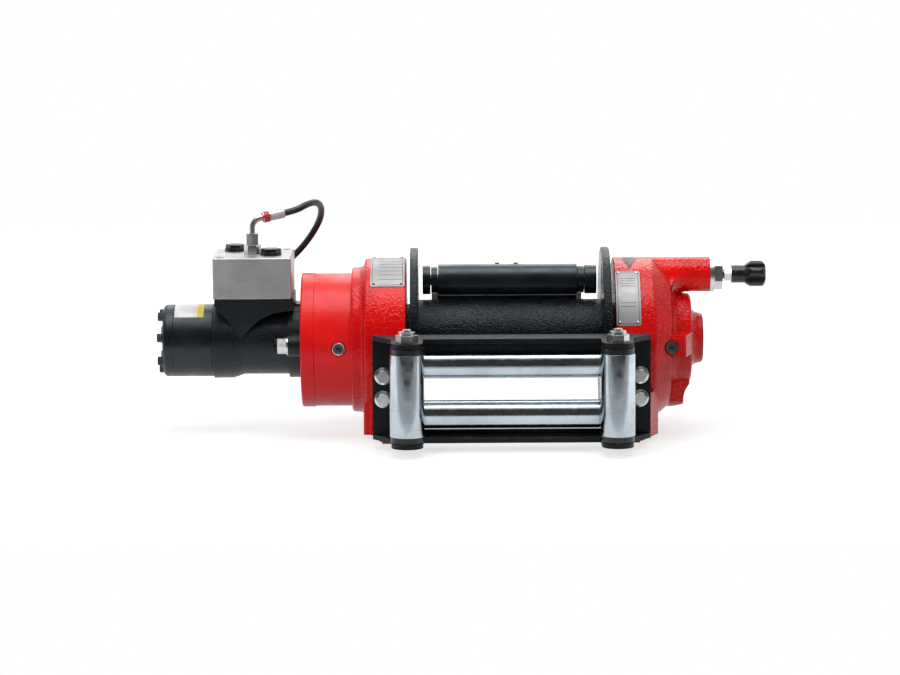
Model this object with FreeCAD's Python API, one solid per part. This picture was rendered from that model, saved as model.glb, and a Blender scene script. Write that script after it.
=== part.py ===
import FreeCAD, Part
import math
import os

V = FreeCAD.Vector
os.makedirs("parts", exist_ok=True)

# Recovery winch with an orbital hydraulic motor, a planetary gear case, a rope
# drum between two cast housings, a roller fairlead and a press roller.
# Millimetres. X runs along the drum from the motor to the clutch knob, the rope
# leaves towards -Y, Z is up. The origin is the middle of the foot bolt pattern.

# Clearances
RUN_GAP = 5.0
FACE_GAP = 1.0
RUNNING_FIT = 0.05
SEAT_FIT = 0.1

# Drum
FOOT_TO_AXIS = 118.5
DRUM_WIDTH = 233.0
DRUM_FLANGE_R = 117.0
DRUM_FLANGE_T = 10.0
BARREL_R = 50.5
JOURNAL_R = 45.0
JOURNAL_SEAT = 10.0
JOURNAL_END_GAP = 2.0

# Housings, one each side of the drum
HOUSING_R = 103.5
HOUSING_EDGE = 1.5
LEFT_BARREL_LEN = 52.0
LEFT_STEP_LEN = 3.0
LEFT_STEP_ROUND = 4.0
LEFT_COLLAR_ROOT_R = 93.0
LEFT_COLLAR_ROOT_ROUND = 6.0
LEFT_COLLAR_R = 92.0
LEFT_COLLAR_LEN = 14.5
LEFT_COLLAR_ROUND = 3.0
RIGHT_BARREL_LEN = 49.5
RIGHT_SHOULDER_ROUND = 6.0
RIGHT_CONE_LEN = 21.0
RIGHT_CONE_R = 86.0
RIGHT_WALL_LEN = 3.5
BELL_ROOT_R = 61.0
BELL_ROOT_ROUND = 12.0
BELL_LEN = 25.0
BELL_R = 56.5
BELL_EDGE = 5.0
BELL_END_DRAFT = 0.5
END_BOSS_ROOT_R = 32.7
END_BOSS_ROOT_ROUND = 11.0
END_BOSS_R = 32.0
END_BOSS_LEN = 13.7
END_BOSS_EDGE = 1.5
END_BOSS_RECESS_R = 26.0
END_BOSS_RECESS = 2.5

# Feet and their bolts
FOOT_OUT = 54.5
FOOT_FRONT_OUT = 31.8
FOOT_TOP = 63.5
FOOT_LIFT = 7.0
FOOT_PAD_LEN = 30.5
FOOT_PAD_WIDTH = 38.0
FOOT_BOLT_OUT = 15.5
FOOT_BOLT_Y = 162.0
FOOT_BOLT_R = 8.0
FOOT_BOLT_DEPTH = 30.0
FOOT_SHOULDER_Y = 74.0
FOOT_CORNER = 4.0
FOOT_REAR_ROUND = 10.0
LEFT_SHOULDER_OUT = 45.0
SEAT_OUT = 36.0
SEAT_CORNER = 3.0
SEAT_TOP_BELOW_AXIS = 8.0
SEAT_BELOW_FOOT_TOP = 20.0

# Rear side: rod of the press roller arms and the tie bar under it
REAR_LUG_T = 26.0
REAR_LUG_R = 15.0
PIVOT_Y = 130.0
PIVOT_UP = 20.0
PIVOT_R = 8.0
TIE_Y = 125.0
TIE_ROOM = 2.0
TIE_R = 8.0
REAR_LUG_SLOPE_ROUND = 8.0
ROD_HEAD_R = 13.0
ROD_HEAD_T = 6.0

# Gear case and motor, outward from the left housing
RING_CASE_R = 84.7
RING_CASE_LEN = 47.0
GEAR_COVER_LEN = 17.0
GEAR_COVER_R = 85.7
GEAR_COVER_EDGE = 2.5
SEAM_EDGE = 0.6
MOTOR_FLANGE_T = 16.0
MOTOR_FLANGE_HALF_H = 48.0
MOTOR_BOLT_SPAN = 106.4
MOTOR_EAR_R = 14.0
MOTOR_NECK_R = 43.4
MOTOR_NECK_LEN = 58.0
MOTOR_TAPER_LEN = 13.5
MOTOR_COLLAR_R = 48.2
MOTOR_COLLAR_LEN = 25.5
MOTOR_COLLAR_EDGE = 1.5
MOTOR_TAPER_ROUND = 3.0
GEROTOR_R = 46.0
GEROTOR_LEN = 50.0
MOTOR_COVER_LEN = 13.5
MOTOR_COVER_EDGE = 5.0
COVER_BOLT_COUNT = 7
COVER_BOLT_INSET = 12.5
COVER_BOLT_AF = 13.0
COVER_BOLT_HEAD = 7.0
FLANGE_BOLT_AF = 19.0
FLANGE_BOLT_HEAD = 11.0
FLANGE_WASHER_R = 12.0
FLANGE_WASHER_T = 2.5
BOLT_SCALLOP_R = FLANGE_WASHER_R + 1.0
BOLT_SCALLOP_LEN = 18.0

# Port pad of the motor and the valve block on it; lengths along X are from the flange
# face, heights are over the drum axis
PAD_TOP_UP = 59.5
PAD_HALF_WIDTH = 43.5
PAD_SIDE = ((-109.5, 59.5, 0), (-109.5, 50.0, 2.0), (-90.0, 28.0, 6.0), (-82.0, 10.0, 3.0),
            (-75.0, 10.0, 3.0), (-53.0, 32.0, 20.0), (-35.0, 40.0, 20.0), (-9.5, 44.0, 0),
            (-9.5, 59.5, 0))
PAD_WEB = ((-13.5, 42.0, 0), (-1.0, 42.0, 0), (-1.0, 48.0, 0), (-9.5, 48.0, 4.0), (-9.5, 58.0, 0),
           (-13.5, 58.0, 0))
PAD_WEB_HALF = 14.0
BLOCK_OUT = 61.0
BLOCK_LEN = 99.0
BLOCK_WIDTH = 108.0
BLOCK_H = 52.0
BLOCK_EDGE = 1.0
BLOCK_SCREW_INSET = 9.0
BLOCK_SCREW_R = 5.0
BLOCK_SCREW_DEEP = 3.0
PORT_PLUG_PLACES = ((-25.0, 29.0), (23.0, -18.0))
PORT_PLUG_R = 13.5
PORT_PLUG_COLLAR = 4.0
PORT_PLUG_AF = 22.0
PORT_PLUG_HEX = 4.5

# Brake release hose, its fittings and its route
FITTING_TOP_OUT = 62.0
FITTING_TOP_Y = -8.0
FITTING_REAR_OUT = 73.0
FITTING_REAR_UP = 38.0
ADAPTER_AF = 19.0
ADAPTER_LEN = 12.5
SWIVEL_AF = 15.0
SWIVEL_LEN = 14.0
PIPE_R = 3.9
PIPE_BEND_R = 12.0
TOP_PIPE_RISE = 17.6
TOP_PIPE_SLOPE = 9.2
TOP_PIPE_TURN = 18.5
REAR_PIPE_OUT = 15.0
REAR_PIPE_SLOPE = 46.8
CORNER_TO_RING = 14.0
RING_LEN = 9.2
RING_R = 6.9
FERRULE_LEN = 19.4
FERRULE_R = 6.0
HOSE_D = 8.5
HOSE_LEAD_TOP = 16.0
HOSE_LEAD_REAR = 19.0
ARC_SHARE = 0.45
HOSE_ROUTE = (
    (8.2, 22.4, 61.2),
    (19.1, 40.7, 61.3),
    (24.5, 61.0, 51.4),
    (20.7, 78.2, 31.8),
    (4.3, 85.4, 5.5),
    (-13.9, 85.4, -14.2),
)

# Plugs with a hexagon socket, in the gear case and the right housing
CASE_PLUG_R = 8.0
CASE_PLUG_HEAD = 3.0
CASE_PLUG_SOCKET_AF = 6.0
SPOT_R = 9.5
SPOT_DEEP = 1.5
GEAR_PLUG_IN = 15.5
PLUG_BOSS_IN = 6.0
PLUG_BOSS_OUT = 18.0
PLUG_BOSS_SLANT_OUT = 28.0
PLUG_BOSS_REACH = 86.0
PLUG_BOSS_SLANT_REACH = 56.0
PLUG_BOSS_DOWN = 12.4
PLUG_BOSS_UP = 14.8
PLUG_BOSS_CORNER = 3.0

# Clutch plunger in its boss over the right housing
CLUTCH_UP = 81.7
CLUTCH_BOSS_R = 22.2
CLUTCH_BOSS_LEN = 123.5
CLUTCH_ROOT_ROUND = 19.9
GLAND_WASHER_R = 22.8
GLAND_WASHER_T = 5.6
GLAND_AF = 34.0
GLAND_HEX = 10.4
GLAND_THREAD_R = 14.0
GLAND_THREAD_LEN = 14.0
PLUNGER_R = 6.0
PLUNGER_IN = 40.0
PLUNGER_END_ROOM = 2.0
PLUNGER_BORE_R = 6.5
PLUNGER_FREE = 3.0
LOCK_NUT_AF = 17.0
LOCK_NUT_T = 9.0
KNOB_HUB_R = 11.3
KNOB_HUB_LEN = 20.0
KNOB_LOBES = 5
KNOB_LOBE_R = 6.2
KNOB_LOBE_OUT = 10.8
KNOB_LEN = 23.6
KNOB_EDGE = 5.0
KNOB_END_ROUND = 8.0
KNOB_BACK = 3.0
KNOB_SHOULDER_ROUND = 6.0
CORNER_FRONT = 30.0
GLAND_TURN = -9.0
LOCK_NUT_TURN = 18.0

# Rib under the bell of the right housing: X from the cone's end, heights over the axis
RIB_SIDE = ((-6.0, -50.0, 0), (-6.0, -86.5, 2.0), (0.5, -88.5, 3.0), (19.0, -82.5, 3.0),
            (18.6, -68.0, 30.0), (26.6, -55.6, 0), (26.6, -50.0, 0))
RIB_HALF_WIDTH = 26.0
RIB_ROUND_R = 38.0

# Roller fairlead; the "in" and "out" lengths are from the housing faces
PLATE_T = 6.0
PLATE_FRONT_Y = -134.0
PLATE_OUT = 41.5
FAIRLEAD_MID_DOWN = 41.5
FAIRLEAD_H = 130.2
FLANGE_DEPTH = 38.0
FLANGE_INNER_ROUND = 3.0
FLANGE_OUTER_ROUND = 6.0
EAR_HALF = 19.6
EAR_FRONT = 21.0
EAR_ROUND = 19.2
VERT_ROLLER_IN = 2.1
VERT_ROLLER_R = 21.5
ROLLER_ROOM = 4.0
WINDOW_IN = 17.5
WINDOW_FRAME = 11.6
WINDOW_CORNER = 1.5
CROSS_ROLLER_R = 17.5
CROSS_ROLLER_SPAN = 62.4
CROSS_ROLLER_IN = 18.5
PLATE_ROOM = 0.5
ROLLER_WALL = 6.0
BUSH_T = 7.2
BUSH_SPIGOT = 10.0
BUSH_LESS = 1.0
ROLLER_BOLT_R = 8.0
ROLLER_BOLT_AF = 24.0
BOLT_FOOT_R = 6.5
BOLT_FOOT = 2.0
NUT_HEX = 9.0
NUT_COLLAR_R = 10.5
NUT_COLLAR = 4.0
BOLT_TIP_R = 5.5
BOLT_TIP = 3.0
CROSS_SHAFT_R = 7.0
CROSS_SHAFT_RING_R = 10.5
CROSS_SHAFT_RING = 3.0
LUG_T = 8.0
LUG_GAP = 4.0
LUG_DEPTH = 31.0
PLATE_BOLT_OUT = 28.1
PLATE_BOLT_DOWNS = (27.0, 56.0)
PLATE_BOLT_R = 5.0
PLATE_BOLT_FLANGE_R = 11.0
PLATE_BOLT_FLANGE = 2.0
PLATE_BOLT_AF = 15.0
PLATE_BOLT_HEAD = 8.0
PLATE_BOLT_DEPTH = 20.0
PLATE_BOLT_END_ROOM = 2.0

# Press roller over the drum and its arms
PRESS_Y = 10.7
PRESS_R = 20.0
PRESS_LEFT_IN = 25.5
PRESS_RIGHT_IN = 30.5
PRESS_ARM_T = 8.0
PRESS_ARM_HALF = 15.0
PRESS_ARM_NOSE_R = 17.0
ELBOW_Y = 88.0
ELBOW_UP = 62.0
PRESS_AXLE_R = 7.0
END_ROLLER_R = 18.5
END_ROLLER_IN = 5.5
END_ROLLER_CAP = 1.0
HUB_R = 14.0
CROSS_BAR_Y = 52.0
CROSS_BAR_H = 27.0
CROSS_BAR_T = 6.0
PRESS_SCREW_XS = (-15.0, 9.0)
PRESS_SCREW_R = 3.0
PRESS_SCREW_H = 24.0

# Places worked out from the sizes above
AXIS_Z = FOOT_TO_AXIS
FLANGE_IN = DRUM_WIDTH / 2
FLANGE_OUT = FLANGE_IN + DRUM_FLANGE_T
HOUSE_IN = FLANGE_OUT + RUN_GAP
LEFT_STEP_X = -(HOUSE_IN + LEFT_BARREL_LEN)
LEFT_COLLAR_X = LEFT_STEP_X - LEFT_STEP_LEN
RING_CASE_X = LEFT_COLLAR_X - LEFT_COLLAR_LEN
COVER_X = RING_CASE_X - RING_CASE_LEN
MOTOR_X = COVER_X - GEAR_COVER_LEN
NECK_X = MOTOR_X - MOTOR_FLANGE_T
TAPER_X = NECK_X - MOTOR_NECK_LEN
COLLAR_X = TAPER_X - MOTOR_TAPER_LEN
GEROTOR_X = COLLAR_X - MOTOR_COLLAR_LEN
MOTOR_COVER_X = GEROTOR_X - GEROTOR_LEN
MOTOR_END_X = MOTOR_COVER_X - MOTOR_COVER_LEN
RIGHT_CONE_X = HOUSE_IN + RIGHT_BARREL_LEN
RIGHT_WALL_X = RIGHT_CONE_X + RIGHT_CONE_LEN
BELL_X = RIGHT_WALL_X + RIGHT_WALL_LEN
BELL_END_X = BELL_X + BELL_LEN
RIGHT_BOSS_X = BELL_END_X + BELL_END_DRAFT
RIGHT_END_X = RIGHT_BOSS_X + END_BOSS_LEN
CLUTCH_Z = AXIS_Z + CLUTCH_UP
CLUTCH_X = HOUSE_IN + CLUTCH_BOSS_LEN
FOOT_BOLT_HALF_X = HOUSE_IN + FOOT_BOLT_OUT
BLOCK_CENTRE_X = MOTOR_X - BLOCK_OUT
FITTING_TOP_X = MOTOR_X - FITTING_TOP_OUT
FITTING_REAR_X = MOTOR_X - FITTING_REAR_OUT
PAD_TOP_Z = AXIS_Z + PAD_TOP_UP
BLOCK_TOP_Z = PAD_TOP_Z + BLOCK_H
FAIRLEAD_Z = AXIS_Z - FAIRLEAD_MID_DOWN
FAIRLEAD_TOP = FAIRLEAD_Z + FAIRLEAD_H / 2
FAIRLEAD_LOW = FAIRLEAD_Z - FAIRLEAD_H / 2
PLATE_BACK_Y = PLATE_FRONT_Y + PLATE_T
PLATE_HALF = HOUSE_IN + PLATE_OUT
PLATE_BOLT_HALF_X = HOUSE_IN + PLATE_BOLT_OUT
WINDOW_HALF_X = HOUSE_IN - WINDOW_IN
WINDOW_HALF_Z = FAIRLEAD_H / 2 - WINDOW_FRAME
CROSS_ROLLER_HALF = HOUSE_IN - CROSS_ROLLER_IN
CROSS_ROLLER_Y = PLATE_FRONT_Y - CROSS_ROLLER_R + BUSH_LESS - PLATE_ROOM
VERT_ROLLER_X = HOUSE_IN - VERT_ROLLER_IN
VERT_ROLLER_Y = CROSS_ROLLER_Y - CROSS_ROLLER_R - VERT_ROLLER_R - ROLLER_ROOM
PRESS_UP = math.sqrt((BARREL_R + RUN_GAP + PRESS_R) ** 2 - PRESS_Y ** 2)
PRESS_Z = AXIS_Z + PRESS_UP
PRESS_LEFT = -FLANGE_IN + PRESS_LEFT_IN
PRESS_RIGHT = FLANGE_IN - PRESS_RIGHT_IN
END_ROLLER_TO = FLANGE_IN - END_ROLLER_IN
PIVOT_Z = AXIS_Z + PIVOT_UP
TIE_Z = FOOT_TOP + ROD_HEAD_R + TIE_ROOM


def box(x0, x1, y0, y1, z0, z1):
    """A plain block between two corners."""
    return Part.makeBox(x1 - x0, y1 - y0, z1 - z0, V(x0, y0, z0))


def bar_x(x0, x1, r, y=0.0, z=AXIS_Z):
    """A round bar along X."""
    return Part.makeCylinder(r, x1 - x0, V(x0, y, z), V(1, 0, 0))


def bar_y(y0, y1, r, x, z):
    """A round bar along Y."""
    return Part.makeCylinder(r, y1 - y0, V(x, y0, z), V(0, 1, 0))


def bar_z(z0, z1, r, x, y):
    """A round bar along Z."""
    return Part.makeCylinder(r, z1 - z0, V(x, y, z0), V(0, 0, 1))


def hexagon(start, direction, across_flats, length, turn=0.0):
    """A hexagon bar from a point along a direction."""
    corner = across_flats / math.sqrt(3)
    ring = []
    for i in range(7):
        a = math.radians(60 * i + turn)
        ring.append(V(corner * math.cos(a), corner * math.sin(a), 0))
    bar = Part.Face(Part.makePolygon(ring)).extrude(V(0, 0, length))
    bar.Placement = FreeCAD.Placement(start, FreeCAD.Rotation(V(0, 0, 1), direction))
    return bar


def rounded_wire(points, place):
    """A closed outline; each point is (a, b, corner radius), place maps (a, b) to space."""
    count = len(points)
    tangents = []
    for i in range(count):
        here = FreeCAD.Vector(points[i][0], points[i][1], 0)
        before = FreeCAD.Vector(points[i - 1][0], points[i - 1][1], 0)
        after = FreeCAD.Vector(points[(i + 1) % count][0], points[(i + 1) % count][1], 0)
        back = (before - here).normalize()
        on = (after - here).normalize()
        half = back.getAngle(on) / 2
        radius = points[i][2]
        if radius == 0:
            tangents.append((here, here, here))
            continue
        cut = radius / math.tan(half)
        centre = here + (back + on).normalize() * (radius / math.sin(half))
        mid = centre + (here - centre).normalize() * radius
        tangents.append((here + back * cut, mid, here + on * cut))
    edges = []
    for i in range(count):
        start, mid, end = tangents[i]
        if (end - start).Length > 1e-6:
            edges.append(Part.Arc(place(start), place(mid), place(end)).toShape())
        next_start = tangents[(i + 1) % count][0]
        if (next_start - end).Length > 1e-6:
            edges.append(Part.LineSegment(place(end), place(next_start)).toShape())
    return Part.Wire(edges)


def plate_x(points, x0, x1):
    """An outline in Y and Z, thick along X."""
    face = Part.Face(rounded_wire(points, lambda p: V(x0, p.x, p.y)))
    return face.extrude(V(x1 - x0, 0, 0))


def plate_y(points, y0, y1):
    """An outline in X and Z, thick along Y."""
    face = Part.Face(rounded_wire(points, lambda p: V(p.x, y0, p.y)))
    return face.extrude(V(0, y1 - y0, 0))


def plate_z(points, z0, z1):
    """An outline in X and Y, thick along Z."""
    face = Part.Face(rounded_wire(points, lambda p: V(p.x, p.y, z0)))
    return face.extrude(V(0, 0, z1 - z0))


def turned_x(points):
    """A body turned about the drum axis; each point is (x, radius, corner radius)."""
    first, last = points[0][0], points[-1][0]
    outline = [(first, 0, 0)] + list(points) + [(last, 0, 0)]
    face = Part.Face(rounded_wire(outline, lambda p: V(p.x, 0, AXIS_Z + p.y)))
    return face.revolve(V(0, 0, AXIS_Z), V(1, 0, 0), 360)


def mirrored_x(shape):
    """The same shape on the other side of the middle plane."""
    return shape.mirror(V(0, 0, 0), V(1, 0, 0))


def save(name, shape):
    """Write one named piece."""
    if isinstance(shape, list):
        shape = Part.makeCompound(shape)
    else:
        shape = shape.removeSplitter()
    shape.exportStep("parts/" + name + ".step")
    print(name, "solids", len(shape.Solids), "valid", shape.isValid(), "cm3", round(shape.Volume / 1000, 1))


# Drum: a barrel with turned journals and two welded side discs

def drum():
    reach = HOUSE_IN + JOURNAL_SEAT
    barrel = turned_x([
        (-reach, JOURNAL_R, 1.0), (-FLANGE_OUT, JOURNAL_R, 0), (-FLANGE_OUT, BARREL_R, 0),
        (FLANGE_OUT, BARREL_R, 0), (FLANGE_OUT, JOURNAL_R, 0), (reach, JOURNAL_R, 1.0)])
    save("drum_barrel", barrel)
    disc = bar_x(FLANGE_IN, FLANGE_OUT, DRUM_FLANGE_R)
    disc = disc.makeFillet(2.0, [e for e in disc.Edges if abs(e.Length - 2 * math.pi * DRUM_FLANGE_R) < 0.1])
    disc = disc.cut(bar_x(FLANGE_IN, FLANGE_OUT, BARREL_R))
    save("drum_right_flange", disc)
    save("drum_left_flange", mirrored_x(disc))


# Housings

def foot_body(shoulders):
    """Right-hand foot on two pads: tapered in plan, with the fairlead seat and the rear lugs."""
    out = HOUSE_IN + FOOT_OUT
    back = PIVOT_Y + REAR_LUG_R
    plan = plate_z(
        [(HOUSE_IN, PLATE_BACK_Y, 0), (HOUSE_IN + FOOT_FRONT_OUT, PLATE_BACK_Y, SEAT_CORNER)] + shoulders
        + [(out, FOOT_SHOULDER_Y, FOOT_CORNER), (HOUSE_IN + REAR_LUG_T, back, FOOT_CORNER),
           (HOUSE_IN, back, 0)], 0, AXIS_Z)
    foot = plate_x([
        (PLATE_BACK_Y, FOOT_LIFT, 0), (back, FOOT_LIFT, FOOT_CORNER), (back, FOOT_TOP, FOOT_REAR_ROUND),
        (PLATE_BACK_Y, FOOT_TOP, 0)], HOUSE_IN, out)
    foot = foot.common(plan)
    seat = box(HOUSE_IN, HOUSE_IN + SEAT_OUT, PLATE_BACK_Y, 0, FOOT_TOP - SEAT_BELOW_FOOT_TOP,
               AXIS_Z - SEAT_TOP_BELOW_AXIS)
    rear = plate_x([
        (0, FOOT_LIFT, 0), (back, FOOT_LIFT, FOOT_CORNER),
        (back, PIVOT_Z + REAR_LUG_R, REAR_LUG_R - RUNNING_FIT),
        (PIVOT_Y - 2 * REAR_LUG_R, PIVOT_Z + REAR_LUG_R, REAR_LUG_SLOPE_ROUND),
        (0, PIVOT_Z + 2 * REAR_LUG_R, 0)], HOUSE_IN, HOUSE_IN + REAR_LUG_T)
    pads = []
    for side in (-1, 1):
        middle = side * FOOT_BOLT_Y / 2
        pads.append(box(HOUSE_IN, HOUSE_IN + FOOT_PAD_LEN, middle - FOOT_PAD_WIDTH / 2,
                        middle + FOOT_PAD_WIDTH / 2, 0, FOOT_LIFT + FACE_GAP))
    return foot.fuse([seat, rear] + pads)


def foot_cuts():
    """Everything that is cut out of the right-hand foot."""
    cuts = []
    for side in (-1, 1):
        cuts.append(bar_z(-1, FOOT_BOLT_DEPTH, FOOT_BOLT_R, FOOT_BOLT_HALF_X, side * FOOT_BOLT_Y / 2))
    for down in PLATE_BOLT_DOWNS:
        cuts.append(bar_y(PLATE_BACK_Y - 1, PLATE_BACK_Y + PLATE_BOLT_DEPTH, PLATE_BOLT_R + SEAT_FIT,
                          PLATE_BOLT_HALF_X, AXIS_Z - down))
    cuts.append(bar_x(HOUSE_IN - 1, HOUSE_IN + REAR_LUG_T + 1, PIVOT_R + SEAT_FIT, PIVOT_Y, PIVOT_Z))
    cuts.append(bar_x(HOUSE_IN - 1, HOUSE_IN + REAR_LUG_T + 1, TIE_R + SEAT_FIT, TIE_Y, TIE_Z))
    bore = JOURNAL_SEAT + JOURNAL_END_GAP
    cuts.append(bar_x(HOUSE_IN - 1, HOUSE_IN + bore, JOURNAL_R + RUNNING_FIT))
    return cuts


def left_housing():
    shell = turned_x([
        (RING_CASE_X, LEFT_COLLAR_R, LEFT_COLLAR_ROUND),
        (LEFT_COLLAR_X, LEFT_COLLAR_ROOT_R, LEFT_COLLAR_ROOT_ROUND),
        (LEFT_STEP_X, HOUSING_R, LEFT_STEP_ROUND), (-HOUSE_IN, HOUSING_R, HOUSING_EDGE)])
    shoulders = [(HOUSE_IN + LEFT_SHOULDER_OUT, -FOOT_SHOULDER_Y, FOOT_CORNER),
                 (HOUSE_IN + FOOT_OUT, -FOOT_SHOULDER_Y, FOOT_CORNER)]
    body = shell.fuse(mirrored_x(foot_body(shoulders)))
    body = body.cut([mirrored_x(c) for c in foot_cuts()])
    save("left_housing", body)


def right_housing():
    shell = turned_x([
        (HOUSE_IN, HOUSING_R, HOUSING_EDGE), (RIGHT_CONE_X, HOUSING_R, RIGHT_SHOULDER_ROUND),
        (RIGHT_WALL_X, RIGHT_CONE_R, HOUSING_EDGE), (BELL_X, BELL_ROOT_R, BELL_ROOT_ROUND),
        (BELL_END_X, BELL_R, BELL_EDGE), (RIGHT_BOSS_X, END_BOSS_ROOT_R, END_BOSS_ROOT_ROUND),
        (RIGHT_END_X, END_BOSS_R, END_BOSS_EDGE)])
    boss = bar_x(HOUSE_IN + RUN_GAP, CLUTCH_X, CLUTCH_BOSS_R, 0, CLUTCH_Z)
    body = shell.fuse([foot_body([(HOUSE_IN + FOOT_OUT, -FOOT_SHOULDER_Y, FOOT_CORNER)]), boss,
                       plug_boss(), bell_rib(), clutch_root()])
    cuts = foot_cuts()
    cuts.append(bar_y(-HOUSING_R, SPOT_DEEP - PLUG_BOSS_REACH, SPOT_R, RIGHT_WALL_X, AXIS_Z))
    cuts.append(bar_x(CLUTCH_X - GLAND_THREAD_LEN - 1, CLUTCH_X + 1, GLAND_THREAD_R + SEAT_FIT, 0, CLUTCH_Z))
    cuts.append(bar_x(CLUTCH_X - PLUNGER_IN - PLUNGER_END_ROOM, CLUTCH_X, PLUNGER_BORE_R, 0, CLUTCH_Z))
    cuts.append(bar_x(RIGHT_END_X - END_BOSS_RECESS, RIGHT_END_X + 1, END_BOSS_RECESS_R))
    save("right_housing", body.cut(cuts))


def plug_boss():
    """Pad for the oil plug: it stands forward at the cone's end and slants back to the bell."""
    return plate_z([
        (RIGHT_WALL_X - PLUG_BOSS_IN, -PLUG_BOSS_REACH, PLUG_BOSS_CORNER),
        (RIGHT_WALL_X + PLUG_BOSS_OUT, -PLUG_BOSS_REACH, PLUG_BOSS_CORNER),
        (RIGHT_WALL_X + PLUG_BOSS_SLANT_OUT, -PLUG_BOSS_SLANT_REACH, 0),
        (RIGHT_WALL_X + PLUG_BOSS_SLANT_OUT, 0, 0), (RIGHT_WALL_X - PLUG_BOSS_IN, 0, 0)],
        AXIS_Z - PLUG_BOSS_DOWN, AXIS_Z + PLUG_BOSS_UP)


def bell_rib():
    """Rib with a round belly that carries the bell on the foot side."""
    side = [(RIGHT_WALL_X + x, AXIS_Z + up, r) for x, up, r in RIB_SIDE]
    rib = plate_y(side, -RIB_HALF_WIDTH, RIB_HALF_WIDTH)
    belly_z = AXIS_Z + min(up for x, up, r in RIB_SIDE) + RIB_ROUND_R
    return rib.common(bar_x(HOUSE_IN, RIGHT_END_X, RIB_ROUND_R, 0, belly_z))


def clutch_root():
    """Hollow sweep between the clutch boss and the end wall, kept inside the cone's edge."""
    root_x = BELL_X
    wide = CLUTCH_BOSS_R + CLUTCH_ROOT_ROUND
    sweep = turned_x([
        (RIGHT_WALL_X - PLUG_BOSS_IN, wide, 0), (root_x, wide, 0),
        (root_x, CLUTCH_BOSS_R, CLUTCH_ROOT_ROUND - RUNNING_FIT),
        (root_x + CLUTCH_ROOT_ROUND, CLUTCH_BOSS_R, 0)])
    sweep.translate(V(0, 0, CLUTCH_UP))
    return sweep.common(bar_x(HOUSE_IN, CLUTCH_X, RIGHT_CONE_R - HOUSING_EDGE))


def rear_rods():
    """Two rods that tie the housings together; the upper one carries the press roller arms."""
    end = HOUSE_IN + REAR_LUG_T
    for name, r, y, z in (("press_pivot_rod", PIVOT_R, PIVOT_Y, PIVOT_Z),
                          ("rear_tie_bar", TIE_R, TIE_Y, TIE_Z)):
        rod = bar_x(-end - ROD_HEAD_T, end + ROD_HEAD_T, r, y, z)
        head = hexagon(V(end, y, z), V(1, 0, 0), ROD_HEAD_R * math.sqrt(3), ROD_HEAD_T)
        save(name, rod.fuse([head, mirrored_x(head)]))


# Gear case and motor

def gear_case():
    case = bar_x(COVER_X, RING_CASE_X, RING_CASE_R)
    plug_x = RING_CASE_X - GEAR_PLUG_IN
    case = case.cut(bar_y(-RING_CASE_R - 1, -RING_CASE_R + SPOT_DEEP, SPOT_R, plug_x, AXIS_Z))
    save("ring_gear_case", case)
    cover = turned_x([(MOTOR_X, GEAR_COVER_R, GEAR_COVER_EDGE), (COVER_X, GEAR_COVER_R, SEAM_EDGE)])
    save("gear_case_cover", cover)
    plugs = [case_plug(plug_x, -RING_CASE_R + SPOT_DEEP, AXIS_Z),
             case_plug(RIGHT_WALL_X, -PLUG_BOSS_REACH + SPOT_DEEP, AXIS_Z)]
    save("case_plugs", plugs)


def case_plug(x, seat_y, z):
    head = bar_y(seat_y - CASE_PLUG_HEAD, seat_y, CASE_PLUG_R, x, z)
    socket = hexagon(V(x, seat_y - CASE_PLUG_HEAD - 1, z), V(0, 1, 0), CASE_PLUG_SOCKET_AF, CASE_PLUG_HEAD)
    return head.cut(socket)


def motor():
    cover = turned_x([(MOTOR_END_X, GEROTOR_R, MOTOR_COVER_EDGE), (MOTOR_COVER_X, GEROTOR_R, SEAM_EDGE)])
    save("motor_end_cover", cover)
    circle_r = GEROTOR_R - COVER_BOLT_INSET
    bolts = []
    for i in range(COVER_BOLT_COUNT):
        a = math.radians(180 + 360 * i / COVER_BOLT_COUNT)
        y = circle_r * math.cos(a)
        z = AXIS_Z + circle_r * math.sin(a)
        bolts.append(hexagon(V(MOTOR_END_X, y, z), V(-1, 0, 0), COVER_BOLT_AF, COVER_BOLT_HEAD))
    save("motor_cover_bolts", bolts)
    gerotor = turned_x([(MOTOR_COVER_X, GEROTOR_R, SEAM_EDGE), (GEROTOR_X, GEROTOR_R, SEAM_EDGE)])
    save("motor_gerotor_section", gerotor)
    save("motor_casting", motor_casting())
    heads = []
    for side in (-1, 1):
        y = side * MOTOR_BOLT_SPAN / 2
        washer = bar_x(NECK_X - FLANGE_WASHER_T, NECK_X, FLANGE_WASHER_R, y)
        head = hexagon(V(NECK_X - FLANGE_WASHER_T, y, AXIS_Z), V(-1, 0, 0), FLANGE_BOLT_AF,
                       FLANGE_BOLT_HEAD, CORNER_FRONT)
        heads.append(washer.fuse(head).removeSplitter())
    save("motor_flange_bolts", heads)


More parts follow.
